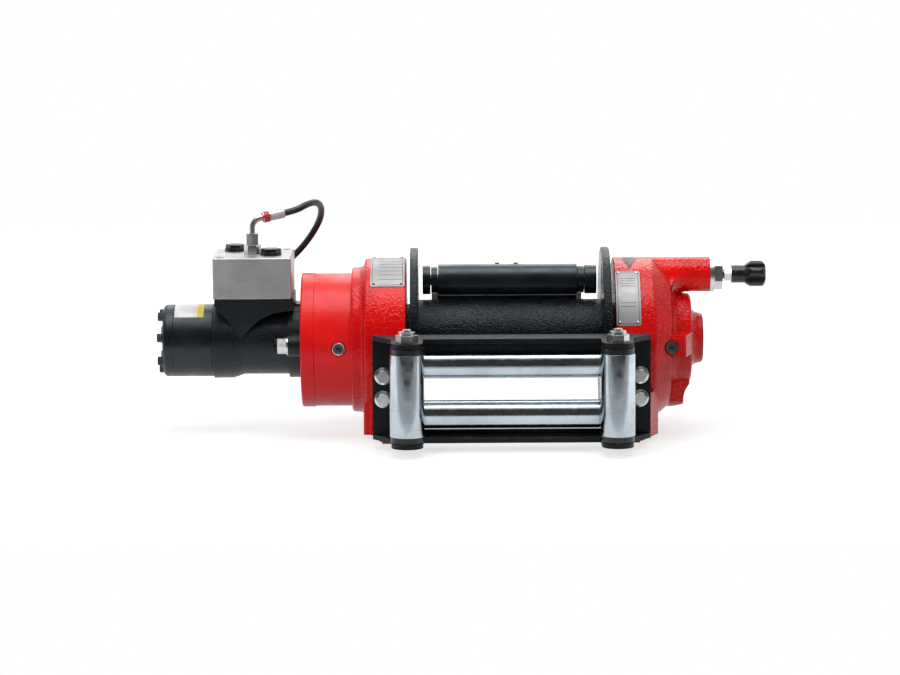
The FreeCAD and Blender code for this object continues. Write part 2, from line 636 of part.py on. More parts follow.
def motor_casting():
    body = turned_x([
        (GEROTOR_X, MOTOR_COLLAR_R, MOTOR_COLLAR_EDGE), (COLLAR_X, MOTOR_COLLAR_R, MOTOR_TAPER_ROUND),
        (TAPER_X, MOTOR_NECK_R, MOTOR_TAPER_ROUND), (MOTOR_X, MOTOR_NECK_R, 0)])
    oval = bar_x(NECK_X, MOTOR_X, MOTOR_FLANGE_HALF_H)
    half = MOTOR_BOLT_SPAN / 2
    bar = box(NECK_X, MOTOR_X, -half, half, AXIS_Z - MOTOR_EAR_R, AXIS_Z + MOTOR_EAR_R)
    ears = [bar_x(NECK_X, MOTOR_X, MOTOR_EAR_R, side * half) for side in (-1, 1)]
    pad = motor_side_plate(PAD_SIDE, PAD_HALF_WIDTH)
    web = motor_side_plate(PAD_WEB, PAD_WEB_HALF)
    casting = body.fuse([oval, bar, pad, web] + ears)
    for side in (-1, 1):
        casting = casting.cut(bar_x(NECK_X - BOLT_SCALLOP_LEN, NECK_X, BOLT_SCALLOP_R, side * half))
    return casting


def motor_side_plate(side, half_width):
    """An outline from the flange face and the drum axis, as thick as the pad or its web."""
    points = [(MOTOR_X + x, AXIS_Z + up, r) for x, up, r in side]
    return plate_y(points, -half_width, half_width)


def valve_block():
    left = BLOCK_CENTRE_X - BLOCK_LEN / 2
    block = box(left, left + BLOCK_LEN, -BLOCK_WIDTH / 2, BLOCK_WIDTH / 2, PAD_TOP_Z, BLOCK_TOP_Z)
    block = block.makeChamfer(BLOCK_EDGE, block.Edges)
    reach_x = BLOCK_LEN / 2 - BLOCK_SCREW_INSET
    reach_y = BLOCK_WIDTH / 2 - BLOCK_SCREW_INSET
    for side in (-1, 1):
        block = block.cut(bar_z(BLOCK_TOP_Z - BLOCK_SCREW_DEEP, BLOCK_TOP_Z + 1, BLOCK_SCREW_R,
                                BLOCK_CENTRE_X + side * reach_x, side * reach_y))
    save("valve_block", block)
    plugs = []
    for along, y in PORT_PLUG_PLACES:
        x = BLOCK_CENTRE_X + along
        collar = bar_z(BLOCK_TOP_Z, BLOCK_TOP_Z + PORT_PLUG_COLLAR, PORT_PLUG_R, x, y)
        head = hexagon(V(x, y, BLOCK_TOP_Z + PORT_PLUG_COLLAR), V(0, 0, 1), PORT_PLUG_AF, PORT_PLUG_HEX)
        plugs.append(collar.fuse(head))
    save("valve_port_plugs", plugs)


# Hose and its fittings

def bent_path(points, radii):
    """Straight runs joined by tangent arcs."""
    edges = []
    here = points[0]
    for i in range(1, len(points) - 1):
        back = (points[i - 1] - points[i]).normalize()
        on = (points[i + 1] - points[i]).normalize()
        half = back.getAngle(on) / 2
        cut = radii[i] / math.tan(half)
        start = points[i] + back * cut
        end = points[i] + on * cut
        centre = points[i] + (back + on).normalize() * (radii[i] / math.sin(half))
        mid = centre + (points[i] - centre).normalize() * radii[i]
        edges.append(Part.LineSegment(here, start).toShape())
        edges.append(Part.Arc(start, mid, end).toShape())
        here = end
    edges.append(Part.LineSegment(here, points[-1]).toShape())
    return Part.Wire(edges)


def tube_on(path, first, direction, radius):
    """A round solid along a path."""
    ring = Part.Wire(Part.makeCircle(radius, first, direction))
    return path.makePipeShell([ring], True, True)


def fitting(base, out, corner_run, turn_to, name):
    """Adapter, swivel nut, bent pipe, sleeve ring and ferrule; returns the ferrule's end."""
    adapter = hexagon(base, out, ADAPTER_AF, ADAPTER_LEN)
    save(name + "_hose_adapter", adapter)
    nut_at = base + out * ADAPTER_LEN
    nut = hexagon(nut_at, out, SWIVEL_AF, SWIVEL_LEN, CORNER_FRONT)
    pipe_at = nut_at + out * SWIVEL_LEN
    corner = pipe_at + out * corner_run
    ring_at = corner + turn_to * CORNER_TO_RING
    path = bent_path([pipe_at, corner, ring_at], [0, PIPE_BEND_R, 0])
    pipe = tube_on(path, pipe_at, out, PIPE_R)
    ring = Part.makeCylinder(RING_R, RING_LEN, ring_at, turn_to)
    ferrule = Part.makeCylinder(FERRULE_R, FERRULE_LEN, ring_at + turn_to * RING_LEN, turn_to)
    save(name + "_hose_elbow", nut.fuse([pipe, ring, ferrule]))
    return ring_at + turn_to * (RING_LEN + FERRULE_LEN)


def heading(slope, turn=0.0):
    """Direction along the drum axis, raised by a slope and turned to the rear."""
    up, round_z = math.radians(slope), math.radians(turn)
    return V(math.cos(up) * math.cos(round_z), math.cos(up) * math.sin(round_z), math.sin(up))


def hose():
    top_way = heading(TOP_PIPE_SLOPE, TOP_PIPE_TURN)
    rear_way = heading(REAR_PIPE_SLOPE)
    top = fitting(V(FITTING_TOP_X, FITTING_TOP_Y, BLOCK_TOP_Z), V(0, 0, 1), TOP_PIPE_RISE, top_way, "top")
    rear = fitting(V(FITTING_REAR_X, PAD_HALF_WIDTH, AXIS_Z + FITTING_REAR_UP), V(0, 1, 0),
                   REAR_PIPE_OUT, rear_way, "rear")
    points = [top, top + top_way * HOSE_LEAD_TOP]
    points += [V(MOTOR_X + x, y, BLOCK_TOP_Z + up) for x, y, up in HOSE_ROUTE]
    points += [rear + rear_way * HOSE_LEAD_REAR, rear]
    runs = [(points[i + 1] - points[i]).Length for i in range(len(points) - 1)]
    radii = [0.0]
    for i in range(1, len(points) - 1):
        turn = (points[i] - points[i - 1]).getAngle(points[i + 1] - points[i])
        radii.append(ARC_SHARE * min(runs[i - 1], runs[i]) / math.tan(turn / 2))
    radii.append(0.0)
    path = bent_path(points, radii)
    tube = tube_on(path, points[0], points[1] - points[0], HOSE_D / 2)
    save("brake_hose", tube)
    section = math.pi * HOSE_D ** 2 / 4
    print("hose points", [[round(c, 2) for c in p] for p in points])
    print("hose runs", [round(r, 1) for r in runs])
    print("hose radii", [round(r, 1) for r in radii[1:-1]], "length", round(path.Length, 1))
    print("hose volume over section times length", round(tube.Volume / (section * path.Length), 4))


# Clutch plunger

def clutch():
    hex_x = CLUTCH_X + GLAND_WASHER_T
    hex_end = hex_x + GLAND_HEX
    gland = bar_x(CLUTCH_X, hex_x, GLAND_WASHER_R, 0, CLUTCH_Z)
    gland = gland.fuse([
        hexagon(V(hex_x, 0, CLUTCH_Z), V(1, 0, 0), GLAND_AF, GLAND_HEX, GLAND_TURN),
        bar_x(CLUTCH_X - GLAND_THREAD_LEN, CLUTCH_X, GLAND_THREAD_R, 0, CLUTCH_Z)])
    gland = gland.cut(bar_x(CLUTCH_X - GLAND_THREAD_LEN, hex_end, PLUNGER_R + RUNNING_FIT, 0, CLUTCH_Z))
    save("clutch_gland", gland)
    nut_x = hex_end + PLUNGER_FREE
    hub_x = nut_x + LOCK_NUT_T
    knob_x = hub_x + KNOB_HUB_LEN
    save("clutch_plunger", bar_x(CLUTCH_X - PLUNGER_IN, knob_x, PLUNGER_R, 0, CLUTCH_Z))
    nut = hexagon(V(nut_x, 0, CLUTCH_Z), V(1, 0, 0), LOCK_NUT_AF, LOCK_NUT_T, LOCK_NUT_TURN)
    save("clutch_lock_nut", nut.cut(bar_x(nut_x, hub_x, PLUNGER_R + RUNNING_FIT, 0, CLUTCH_Z)))
    hub = bar_x(hub_x, knob_x, KNOB_HUB_R, 0, CLUTCH_Z)
    back_x = knob_x - KNOB_BACK
    lobes = []
    for i in range(KNOB_LOBES):
        a = math.radians(90 + 360 * i / KNOB_LOBES)
        lobes.append(bar_x(back_x, knob_x + KNOB_LEN, KNOB_LOBE_R,
                           KNOB_LOBE_OUT * math.cos(a), CLUTCH_Z + KNOB_LOBE_OUT * math.sin(a)))
    head = bar_x(back_x, knob_x + KNOB_LEN, KNOB_LOBE_OUT, 0, CLUTCH_Z).fuse(lobes)
    full = KNOB_LOBE_OUT + KNOB_LOBE_R
    form = turned_x([(back_x, full - KNOB_EDGE, KNOB_BACK), (knob_x + KNOB_EDGE, full, KNOB_SHOULDER_ROUND),
                     (knob_x + KNOB_LEN, full, KNOB_END_ROUND)])
    form.translate(V(0, 0, CLUTCH_UP))
    knob = hub.fuse(head.common(form)).cut(bar_x(hub_x, knob_x, PLUNGER_R + RUNNING_FIT, 0, CLUTCH_Z))
    save("clutch_knob", knob)


# Roller fairlead

def fairlead():
    half = FAIRLEAD_H / 2
    plate = plate_y([(-PLATE_HALF, FAIRLEAD_Z - half, 0), (PLATE_HALF, FAIRLEAD_Z - half, 0),
                     (PLATE_HALF, FAIRLEAD_Z + half, 0), (-PLATE_HALF, FAIRLEAD_Z + half, 0)],
                    PLATE_FRONT_Y, PLATE_BACK_Y)
    window = plate_y([
        (-WINDOW_HALF_X, FAIRLEAD_Z - WINDOW_HALF_Z, WINDOW_CORNER),
        (WINDOW_HALF_X, FAIRLEAD_Z - WINDOW_HALF_Z, WINDOW_CORNER),
        (WINDOW_HALF_X, FAIRLEAD_Z + WINDOW_HALF_Z, WINDOW_CORNER),
        (-WINDOW_HALF_X, FAIRLEAD_Z + WINDOW_HALF_Z, WINDOW_CORNER)], PLATE_FRONT_Y - 1, PLATE_BACK_Y + 1)
    cuts = [window]
    for side in (-1, 1):
        for down in PLATE_BOLT_DOWNS:
            cuts.append(bar_y(PLATE_FRONT_Y - 1, PLATE_BACK_Y + 1, PLATE_BOLT_R + SEAT_FIT,
                              side * PLATE_BOLT_HALF_X, AXIS_Z - down))
    save("fairlead_plate", plate.cut(cuts))
    save("fairlead_ears", [ear_plate(FAIRLEAD_LOW), ear_plate(FAIRLEAD_TOP - PLATE_T)])
    save("fairlead_side_lugs", side_lugs())
    save("fairlead_plate_bolts", plate_bolts())
    save("vertical_roller_bolts", [roller_bolt(side * VERT_ROLLER_X) for side in (-1, 1)])
    cross_rollers()
    vertical_rollers()


def ear_plate(z):
    """Upper or lower plate of the fairlead: two rounded ears hold the roller bolts."""
    front = VERT_ROLLER_Y - EAR_FRONT
    middle = PLATE_BACK_Y - FLANGE_DEPTH
    inner, outer = VERT_ROLLER_X - EAR_HALF, VERT_ROLLER_X + EAR_HALF
    right = [(inner, middle, FLANGE_INNER_ROUND), (inner, front, EAR_ROUND), (outer, front, EAR_ROUND),
             (outer, middle, FLANGE_OUTER_ROUND), (PLATE_HALF, PLATE_FRONT_Y, 0)]
    left = [(-a, b, r) for a, b, r in reversed(right)]
    ears = plate_z(left + right, z, z + PLATE_T)
    for side in (-1, 1):
        ears = ears.cut(bar_z(z - 1, z + PLATE_T + 1, ROLLER_BOLT_R + SEAT_FIT, side * VERT_ROLLER_X,
                              VERT_ROLLER_Y))
    return ears


def lug_inner():
    return CROSS_ROLLER_HALF + LUG_GAP


def side_lugs():
    """Two plates welded inside the frame; they carry the ends of the cross roller shafts."""
    lug = box(lug_inner(), lug_inner() + LUG_T, PLATE_FRONT_Y - LUG_DEPTH, PLATE_FRONT_Y,
              FAIRLEAD_LOW + PLATE_T, FAIRLEAD_TOP - PLATE_T)
    for side in (-1, 1):
        lug = lug.cut(bar_x(lug_inner() - 1, lug_inner() + LUG_T + 1, CROSS_SHAFT_R + SEAT_FIT,
                            CROSS_ROLLER_Y, FAIRLEAD_Z + side * CROSS_ROLLER_SPAN / 2))
    return [lug, mirrored_x(lug)]


def plate_bolts():
    bolts = []
    for side in (-1, 1):
        for down in PLATE_BOLT_DOWNS:
            x, z = side * PLATE_BOLT_HALF_X, AXIS_Z - down
            shank_end = PLATE_BACK_Y + PLATE_BOLT_DEPTH - PLATE_BOLT_END_ROOM
            shank = bar_y(PLATE_FRONT_Y, shank_end, PLATE_BOLT_R, x, z)
            rim = bar_y(PLATE_FRONT_Y - PLATE_BOLT_FLANGE, PLATE_FRONT_Y, PLATE_BOLT_FLANGE_R, x, z)
            head = hexagon(V(x, PLATE_FRONT_Y - PLATE_BOLT_FLANGE, z), V(0, -1, 0), PLATE_BOLT_AF,
                           PLATE_BOLT_HEAD)
            bolts.append(shank.fuse([rim, head]).removeSplitter())
    return bolts


def roller_bolt(x):
    """Shaft of a vertical roller: it ends flush below and carries a lock nut above."""
    shank = bar_z(FAIRLEAD_LOW, FAIRLEAD_TOP + NUT_HEX, ROLLER_BOLT_R, x, VERT_ROLLER_Y)
    foot = bar_z(FAIRLEAD_LOW - BOLT_FOOT, FAIRLEAD_LOW, BOLT_FOOT_R, x, VERT_ROLLER_Y)
    nut = hexagon(V(x, VERT_ROLLER_Y, FAIRLEAD_TOP), V(0, 0, 1), ROLLER_BOLT_AF, NUT_HEX)
    collar_z = FAIRLEAD_TOP + NUT_HEX
    collar = bar_z(collar_z, collar_z + NUT_COLLAR, NUT_COLLAR_R, x, VERT_ROLLER_Y)
    tip = bar_z(collar_z + NUT_COLLAR, collar_z + NUT_COLLAR + BOLT_TIP, BOLT_TIP_R, x, VERT_ROLLER_Y)
    return shank.fuse([foot, nut, collar, tip]).removeSplitter()


def roller_parts(name, low, high, radius, shaft_r, make_bar):
    """A steel tube with a plastic bush in each end, along the axis that make_bar follows."""
    inner = radius - ROLLER_WALL
    tube = make_bar(low + BUSH_T, high - BUSH_T, radius).cut(make_bar(low, high, inner))
    save(name, tube)
    bushes = []
    for outer, inward in ((low, 1), (high, -1)):
        face = outer + inward * BUSH_T
        deep = face + inward * BUSH_SPIGOT
        rim = make_bar(min(outer, face), max(outer, face), radius - BUSH_LESS)
        spigot = make_bar(min(face, deep), max(face, deep), inner - SEAT_FIT)
        bore = make_bar(low - 1, high + 1, shaft_r + RUNNING_FIT)
        bushes.append(rim.fuse(spigot).cut(bore).removeSplitter())
    save(name + "_bushes", bushes)


def vertical_rollers():
    low = FAIRLEAD_LOW + PLATE_T + FACE_GAP
    high = FAIRLEAD_TOP - PLATE_T - FACE_GAP
    for name, side in (("left_roller", -1), ("right_roller", 1)):
        x = side * VERT_ROLLER_X
        roller_parts(name, low, high, VERT_ROLLER_R, ROLLER_BOLT_R,
                     lambda a, b, r: bar_z(a, b, r, x, VERT_ROLLER_Y))


def cross_rollers():
    reach = lug_inner() - FACE_GAP
    shafts = []
    for name, side in (("upper_roller", 1), ("lower_roller", -1)):
        z = FAIRLEAD_Z + side * CROSS_ROLLER_SPAN / 2
        roller_parts(name, -reach, reach, CROSS_ROLLER_R, CROSS_SHAFT_R,
                     lambda a, b, r: bar_x(a, b, r, CROSS_ROLLER_Y, z))
        face = lug_inner() + LUG_T
        shaft = bar_x(-face - CROSS_SHAFT_RING, face + CROSS_SHAFT_RING, CROSS_SHAFT_R, CROSS_ROLLER_Y, z)
        ring = bar_x(face, face + CROSS_SHAFT_RING, CROSS_SHAFT_RING_R, CROSS_ROLLER_Y, z)
        shafts.append(shaft.fuse([ring, mirrored_x(ring)]).removeSplitter())
    save("cross_roller_shafts", shafts)


# Press roller, pushed on the rope from above and behind

def arm_outline():
    """Outline of an arm in Y and Z, bent at the elbow, with a round end at each pin."""
    nose, hub, half = PRESS_ARM_NOSE_R, HUB_R, PRESS_ARM_HALF
    pin = V(PRESS_Y, PRESS_Z, 0)
    elbow = V(ELBOW_Y, AXIS_Z + ELBOW_UP, 0)
    pivot = V(PIVOT_Y, PIVOT_Z, 0)
    return (pin, nose), (elbow, half), (pivot, hub)


def taper_link(a, ra, b, rb, x0, x1):
    """A flat link: round ends joined by straight sides."""
    along = (b - a).normalize()
    side = V(-along.y, along.x, 0)
    corners = [a + side * ra, b + side * rb, b - side * rb, a - side * ra]
    ring = [V(x0, c.x, c.y) for c in corners]
    web = Part.Face(Part.makePolygon(ring + ring[:1])).extrude(V(x1 - x0, 0, 0))
    return web.fuse([bar_x(x0, x1, ra, a.x, a.y), bar_x(x0, x1, rb, b.x, b.y)])


def press_arm(x0, x1):
    (pin, nose), (elbow, half), (pivot, hub) = arm_outline()
    arm = taper_link(pin, nose, elbow, half, x0, x1).fuse(taper_link(elbow, half, pivot, hub, x0, x1))
    arm = arm.cut(bar_x(x0 - 1, x1 + 1, PRESS_AXLE_R + RUNNING_FIT, pin.x, pin.y))
    return arm.cut(bar_x(x0 - 1, x1 + 1, PIVOT_R + RUNNING_FIT, pivot.x, pivot.y))


def press_roller():
    left_in = PRESS_LEFT - FACE_GAP
    right_in = PRESS_RIGHT + FACE_GAP
    left_out = left_in - PRESS_ARM_T
    right_out = right_in + PRESS_ARM_T
    save("press_arm_left", press_arm(left_out, left_in))
    save("press_arm_right", press_arm(right_in, right_out))
    hub = bar_x(left_in, right_in, HUB_R, PIVOT_Y, PIVOT_Z)
    save("press_hub_tube", hub.cut(bar_x(left_in, right_in, PIVOT_R + RUNNING_FIT, PIVOT_Y, PIVOT_Z)))
    slope = (ELBOW_UP - PRESS_UP) / (ELBOW_Y - PRESS_Y)
    bar_top = PRESS_Z + slope * (CROSS_BAR_Y - PRESS_Y)
    bar = box(left_in, right_in, CROSS_BAR_Y - CROSS_BAR_T / 2, CROSS_BAR_Y + CROSS_BAR_T / 2,
              bar_top - CROSS_BAR_H, bar_top)
    save("press_cross_bar", bar)
    save("press_screws", [bar_z(bar_top, bar_top + PRESS_SCREW_H, PRESS_SCREW_R, x, CROSS_BAR_Y)
                          for x in PRESS_SCREW_XS])
    axle_end = END_ROLLER_TO - END_ROLLER_CAP
    tube = bar_x(PRESS_LEFT, PRESS_RIGHT, PRESS_R, PRESS_Y, PRESS_Z)
    save("press_roller", tube.cut(bar_x(PRESS_LEFT, PRESS_RIGHT, PRESS_AXLE_R, PRESS_Y, PRESS_Z)))
    save("press_axle", bar_x(-axle_end, axle_end, PRESS_AXLE_R, PRESS_Y, PRESS_Z))
    ends = []
    for a, b in ((-END_ROLLER_TO, left_out - FACE_GAP), (right_out + FACE_GAP, END_ROLLER_TO)):
        end = bar_x(a, b, END_ROLLER_R, PRESS_Y, PRESS_Z)
        ends.append(end.cut(bar_x(-axle_end, axle_end, PRESS_AXLE_R, PRESS_Y, PRESS_Z)))
    save("press_end_rollers", ends)


drum()
left_housing()
right_housing()
rear_rods()
gear_case()
motor()
valve_block()
hose()
clutch()
fairlead()
press_roller()
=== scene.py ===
# %% [markdown]
# # A hydraulic winch in cells
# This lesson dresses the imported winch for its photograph. The solids already stand where they
# belong, so each cell adds one thing: the camera, the lamps, the white room and its floor, then
# each finish, the hose and each small piece. The lengths are metres, X runs along the drum and the
# rope leaves towards -Y.

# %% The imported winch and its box
import math

import bmesh
import bpy
from mathutils import Matrix, Vector


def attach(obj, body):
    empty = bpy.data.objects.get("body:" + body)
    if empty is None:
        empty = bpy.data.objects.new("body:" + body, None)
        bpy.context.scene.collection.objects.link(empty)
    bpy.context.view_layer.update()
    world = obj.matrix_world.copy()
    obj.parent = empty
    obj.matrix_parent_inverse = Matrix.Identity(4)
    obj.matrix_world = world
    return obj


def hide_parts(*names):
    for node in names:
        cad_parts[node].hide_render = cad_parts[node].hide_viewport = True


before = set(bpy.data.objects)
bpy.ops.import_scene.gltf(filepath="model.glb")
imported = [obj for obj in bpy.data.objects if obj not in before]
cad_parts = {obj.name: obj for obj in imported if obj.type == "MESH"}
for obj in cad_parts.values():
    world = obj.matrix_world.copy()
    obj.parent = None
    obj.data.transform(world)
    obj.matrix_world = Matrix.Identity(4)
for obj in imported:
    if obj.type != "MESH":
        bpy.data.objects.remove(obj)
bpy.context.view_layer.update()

# %% [markdown]
# ## The camera
# The photograph was taken from far away with a long lens: the drum ends show almost no depth, and
# the tops of the feet are seen from about eight degrees above. A camera that stands 4.4 m in
# front with a 140 mm lens gives the same lines. It hangs a third of a degree to one side, as a
# hand-levelled tripod does, so a small roll is added about its own axis.

# %% Camera
EYE = Vector((-0.0763, -4.434, 0.759))
AIM = Vector((-0.0763, 0.0, 0.1202))
ROLL = 0.0055
camera_data = bpy.data.cameras.new("studio_camera")
camera_data.lens = 140.0
camera_data.sensor_width = 36.0
camera = bpy.data.objects.new("studio_camera", camera_data)
bpy.context.scene.collection.objects.link(camera)
look = (AIM - EYE).to_track_quat("-Z", "Y").to_matrix().to_4x4()
camera.matrix_world = Matrix.Translation(EYE) @ look @ Matrix.Rotation(-ROLL, 4, "Z")
bpy.context.scene.camera = camera
print("camera stands", round((AIM - EYE).length, 3), "m from the drum axis")

# %% [markdown]
# ## Light
# The winch was photographed in a white studio: a wide lamp overhead gives the pale band on top of
# each round part, two in front lift the faces, and one behind opens the edges. Area lamps are used
# and no sun, since their size is what makes a highlight soft. The two in front stay out of the
# mirrored rays, or they would lay a grey haze over the black and red paint.

# %% Lamps
def soft_lamp(name, place, aim, size, power, mirrored=True):
    """A square area lamp that points at a place; a mirrored one is seen in shiny surfaces."""
    data = bpy.data.lights.new(name, "AREA")
    data.shape = "SQUARE"
    data.size = size
    data.energy = power
    lamp = bpy.data.objects.new(name, data)
    lamp.location = place
    lamp.rotation_euler = (Vector(aim) - Vector(place)).to_track_quat("-Z", "Y").to_euler()
    lamp.visible_glossy = mirrored
    bpy.context.scene.collection.objects.link(lamp)
    return lamp


DRUM_HEIGHT = 0.1185
MIDDLE = (0.0, 0.0, DRUM_HEIGHT)
soft_lamp("overhead", (0.0, -0.35, 2.2), MIDDLE, size=1.5, power=28.0)
soft_lamp("front_left", (-1.6, -2.2, 1.1), MIDDLE, size=1.0, power=27.0, mirrored=False)
soft_lamp("front_right", (1.5, -2.4, 0.9), MIDDLE, size=1.0, power=8.0, mirrored=False)
soft_lamp("behind", (0.0, 1.9, 1.7), MIDDLE, size=1.4, power=16.0)
print("four soft lamps round", MIDDLE)

# %% [markdown]
# ## The white room
# A straight look at the world gives pure white, and so do mirrored rays, so that bare metal shows
# the same room. Only the side of the room behind the camera is dark up to about fifty degrees,
# as it is in a real studio: that is what puts the dark band along each bright roller. The
# direction of a ray comes from the Generated output: its Y says how far the ray looks back past
# the winch, and its Z how high. The Light Path node keeps this picture away from the light that
# falls on the paint, which is a weak, even sky.

# %% World
def wire(tree, kind, settings=(), **sockets):
    """Adds a node, sets its choices, and gives each named socket a value or a link."""
    node = tree.nodes.new("ShaderNode" + kind)
    for key, value in dict(settings).items():
        setattr(node, key, value)
    for key, value in sockets.items():
        socket = node.inputs[int(key[1:])] if key[0] == "i" and key[1:].isdigit() else None
        socket = socket or node.inputs[key.replace("_", " ")]
        if isinstance(value, bpy.types.NodeSocket):
            tree.links.new(value, socket)
        else:
            socket.default_value = value
    return node


def seen_ray(tree):
    """1 for what the camera sees straight, mirrored or through glass, else 0."""
    path = wire(tree, "LightPath")
    first = wire(tree, "Math", {"operation": "MAXIMUM"}, i0=path.outputs["Is Camera Ray"],
                 i1=path.outputs["Is Glossy Ray"])
    return wire(tree, "Math", {"operation": "MAXIMUM"}, i0=first.outputs[0],
                i1=path.outputs["Is Transmission Ray"]).outputs[0]


def smooth_step(tree, value, low, high, out_low=0.0, out_high=1.0):
    """Turns a value smoothly from one number to another between two marks."""
    return wire(tree, "MapRange", {"interpolation_type": "SMOOTHSTEP"}, Value=value, From_Min=low,
                From_Max=high, To_Min=out_low, To_Max=out_high).outputs["Result"]


def product(tree, first, second):
    """One value times another."""
    return wire(tree, "Math", {"operation": "MULTIPLY"}, i0=first, i1=second).outputs[0]


SKY = (0.9, 0.95, 1.0, 1.0)
SKY_STRENGTH = 0.30
WHITE = (1.0, 1.0, 1.0, 1.0)
DARK_SIDE = (0.060, 0.054, 0.050, 1.0)
DARK_FROM_Y, DARK_FULL_Y = -0.10, -0.28
WHITE_FROM_Z, DARK_BELOW_Z = 0.84, 0.74
world = bpy.data.worlds.new("studio_world")
bpy.context.scene.world = world
world.use_nodes = True
room = world.node_tree
room.nodes.clear()
heading = wire(room, "TexCoord").outputs["Generated"]
parts = wire(room, "SeparateXYZ", Vector=heading)
to_front = smooth_step(room, parts.outputs["Y"], DARK_FROM_Y, DARK_FULL_Y)
below_lamp = smooth_step(room, parts.outputs["Z"], WHITE_FROM_Z, DARK_BELOW_Z)
mirrored = wire(room, "LightPath").outputs["Is Glossy Ray"]
dark_share = product(room, product(room, to_front, below_lamp), mirrored)
picture = wire(room, "Mix", {"data_type": "RGBA"}, Factor=dark_share, i6=WHITE, i7=DARK_SIDE)
sky = wire(room, "Background", Color=SKY, Strength=SKY_STRENGTH)
seen_room = wire(room, "Background", Color=picture.outputs[2], Strength=1.0)
room_mix = wire(room, "MixShader", Fac=seen_ray(room), i1=sky.outputs[0], i2=seen_room.outputs[0])
wire(room, "OutputWorld", Surface=room_mix.outputs[0])
print("world of", len(room.nodes), "nodes")

# %% [markdown]
# ## The floor
# The floor is a pale sheet. Part of its white is its own glow, which only seen rays meet, and the
# rest is the light that it catches, so the shadow under the winch stays. Away from the winch the
# glow rises to full white and the edge of the sheet can't be seen. The sheet ends a little in
# front of the winch, and mirrored rays see its glow fade before that, because the lower bands of
# the rollers show a white sheet that is only some hands wide.

# %% Floor
FLOOR_SIDE = 2.4
FLOOR_FRONT = -0.74
FLOOR_GREY = (0.42, 0.42, 0.42, 1.0)
GLOW_NEAR, GLOW_FULL_AT = 0.35, 0.80
GLOW_UNDER = 0.70
MIRROR_DIM_AT, MIRROR_FULL_AT = -0.46, -0.38
MIRROR_DIM = 0.15
floor_mesh = bpy.data.meshes.new("studio_floor")
floor_form = bmesh.new()
corners = [floor_form.verts.new((x, y, 0.0)) for x, y in (
    (-FLOOR_SIDE, FLOOR_FRONT), (FLOOR_SIDE, FLOOR_FRONT),
    (FLOOR_SIDE, FLOOR_SIDE), (-FLOOR_SIDE, FLOOR_SIDE))]
floor_form.faces.new(corners)
floor_form.to_mesh(floor_mesh)
floor_form.free()
floor = bpy.data.objects.new("studio_floor", floor_mesh)
bpy.context.scene.collection.objects.link(floor)
floor_paint = bpy.data.materials.new("pale_floor")
floor_paint.use_nodes = True
sheet = floor_paint.node_tree
sheet.nodes.clear()
spot = wire(sheet, "TexCoord").outputs["Object"]
away = wire(sheet, "VectorMath", {"operation": "LENGTH"}, i0=spot).outputs["Value"]
glow_level = smooth_step(sheet, away, GLOW_NEAR, GLOW_FULL_AT, GLOW_UNDER, 1.0)
forward = wire(sheet, "SeparateXYZ", Vector=spot).outputs["Y"]
near = smooth_step(sheet, forward, MIRROR_DIM_AT, MIRROR_FULL_AT, MIRROR_DIM, 1.0)
mirrored = wire(sheet, "LightPath").outputs["Is Glossy Ray"]
seen_share = wire(sheet, "Mix", {"data_type": "FLOAT"}, i0=mirrored, i2=1.0, i3=near).outputs[0]
glow_level = product(sheet, glow_level, seen_share)
matt = wire(sheet, "BsdfDiffuse", Color=FLOOR_GREY)
glow = wire(sheet, "Emission", Color=WHITE, Strength=product(sheet, glow_level, seen_ray(sheet)))
both = wire(sheet, "AddShader", i0=matt.outputs[0], i1=glow.outputs[0])
wire(sheet, "OutputMaterial", Surface=both.outputs[0])
floor_mesh.materials.append(floor_paint)
bpy.context.scene.view_settings.view_transform = "Standard"
print("floor from", FLOOR_FRONT, "to", FLOOR_SIDE, "m")

# %% [markdown]
# ## How a finish is built
# Every surface of the winch gets a material made of nodes, since flat colour is what gives a
# render away. Pictures could be wrapped round the parts instead, but they would need unwrapping
# and would blur close up. The patterns here are counted in metres from the winch's own origin, so
# a grain of 2 mm is 2 mm on every part: a noise of scale 500 has 500 grains in a metre. A Bevel
# node rounds the sharp edges of the solids in the light, and its difference from the true surface
# marks where hands and tools rub the edges bare. Shine and tint are the same all over a part, so
# they are plain numbers on the shader's own sockets.

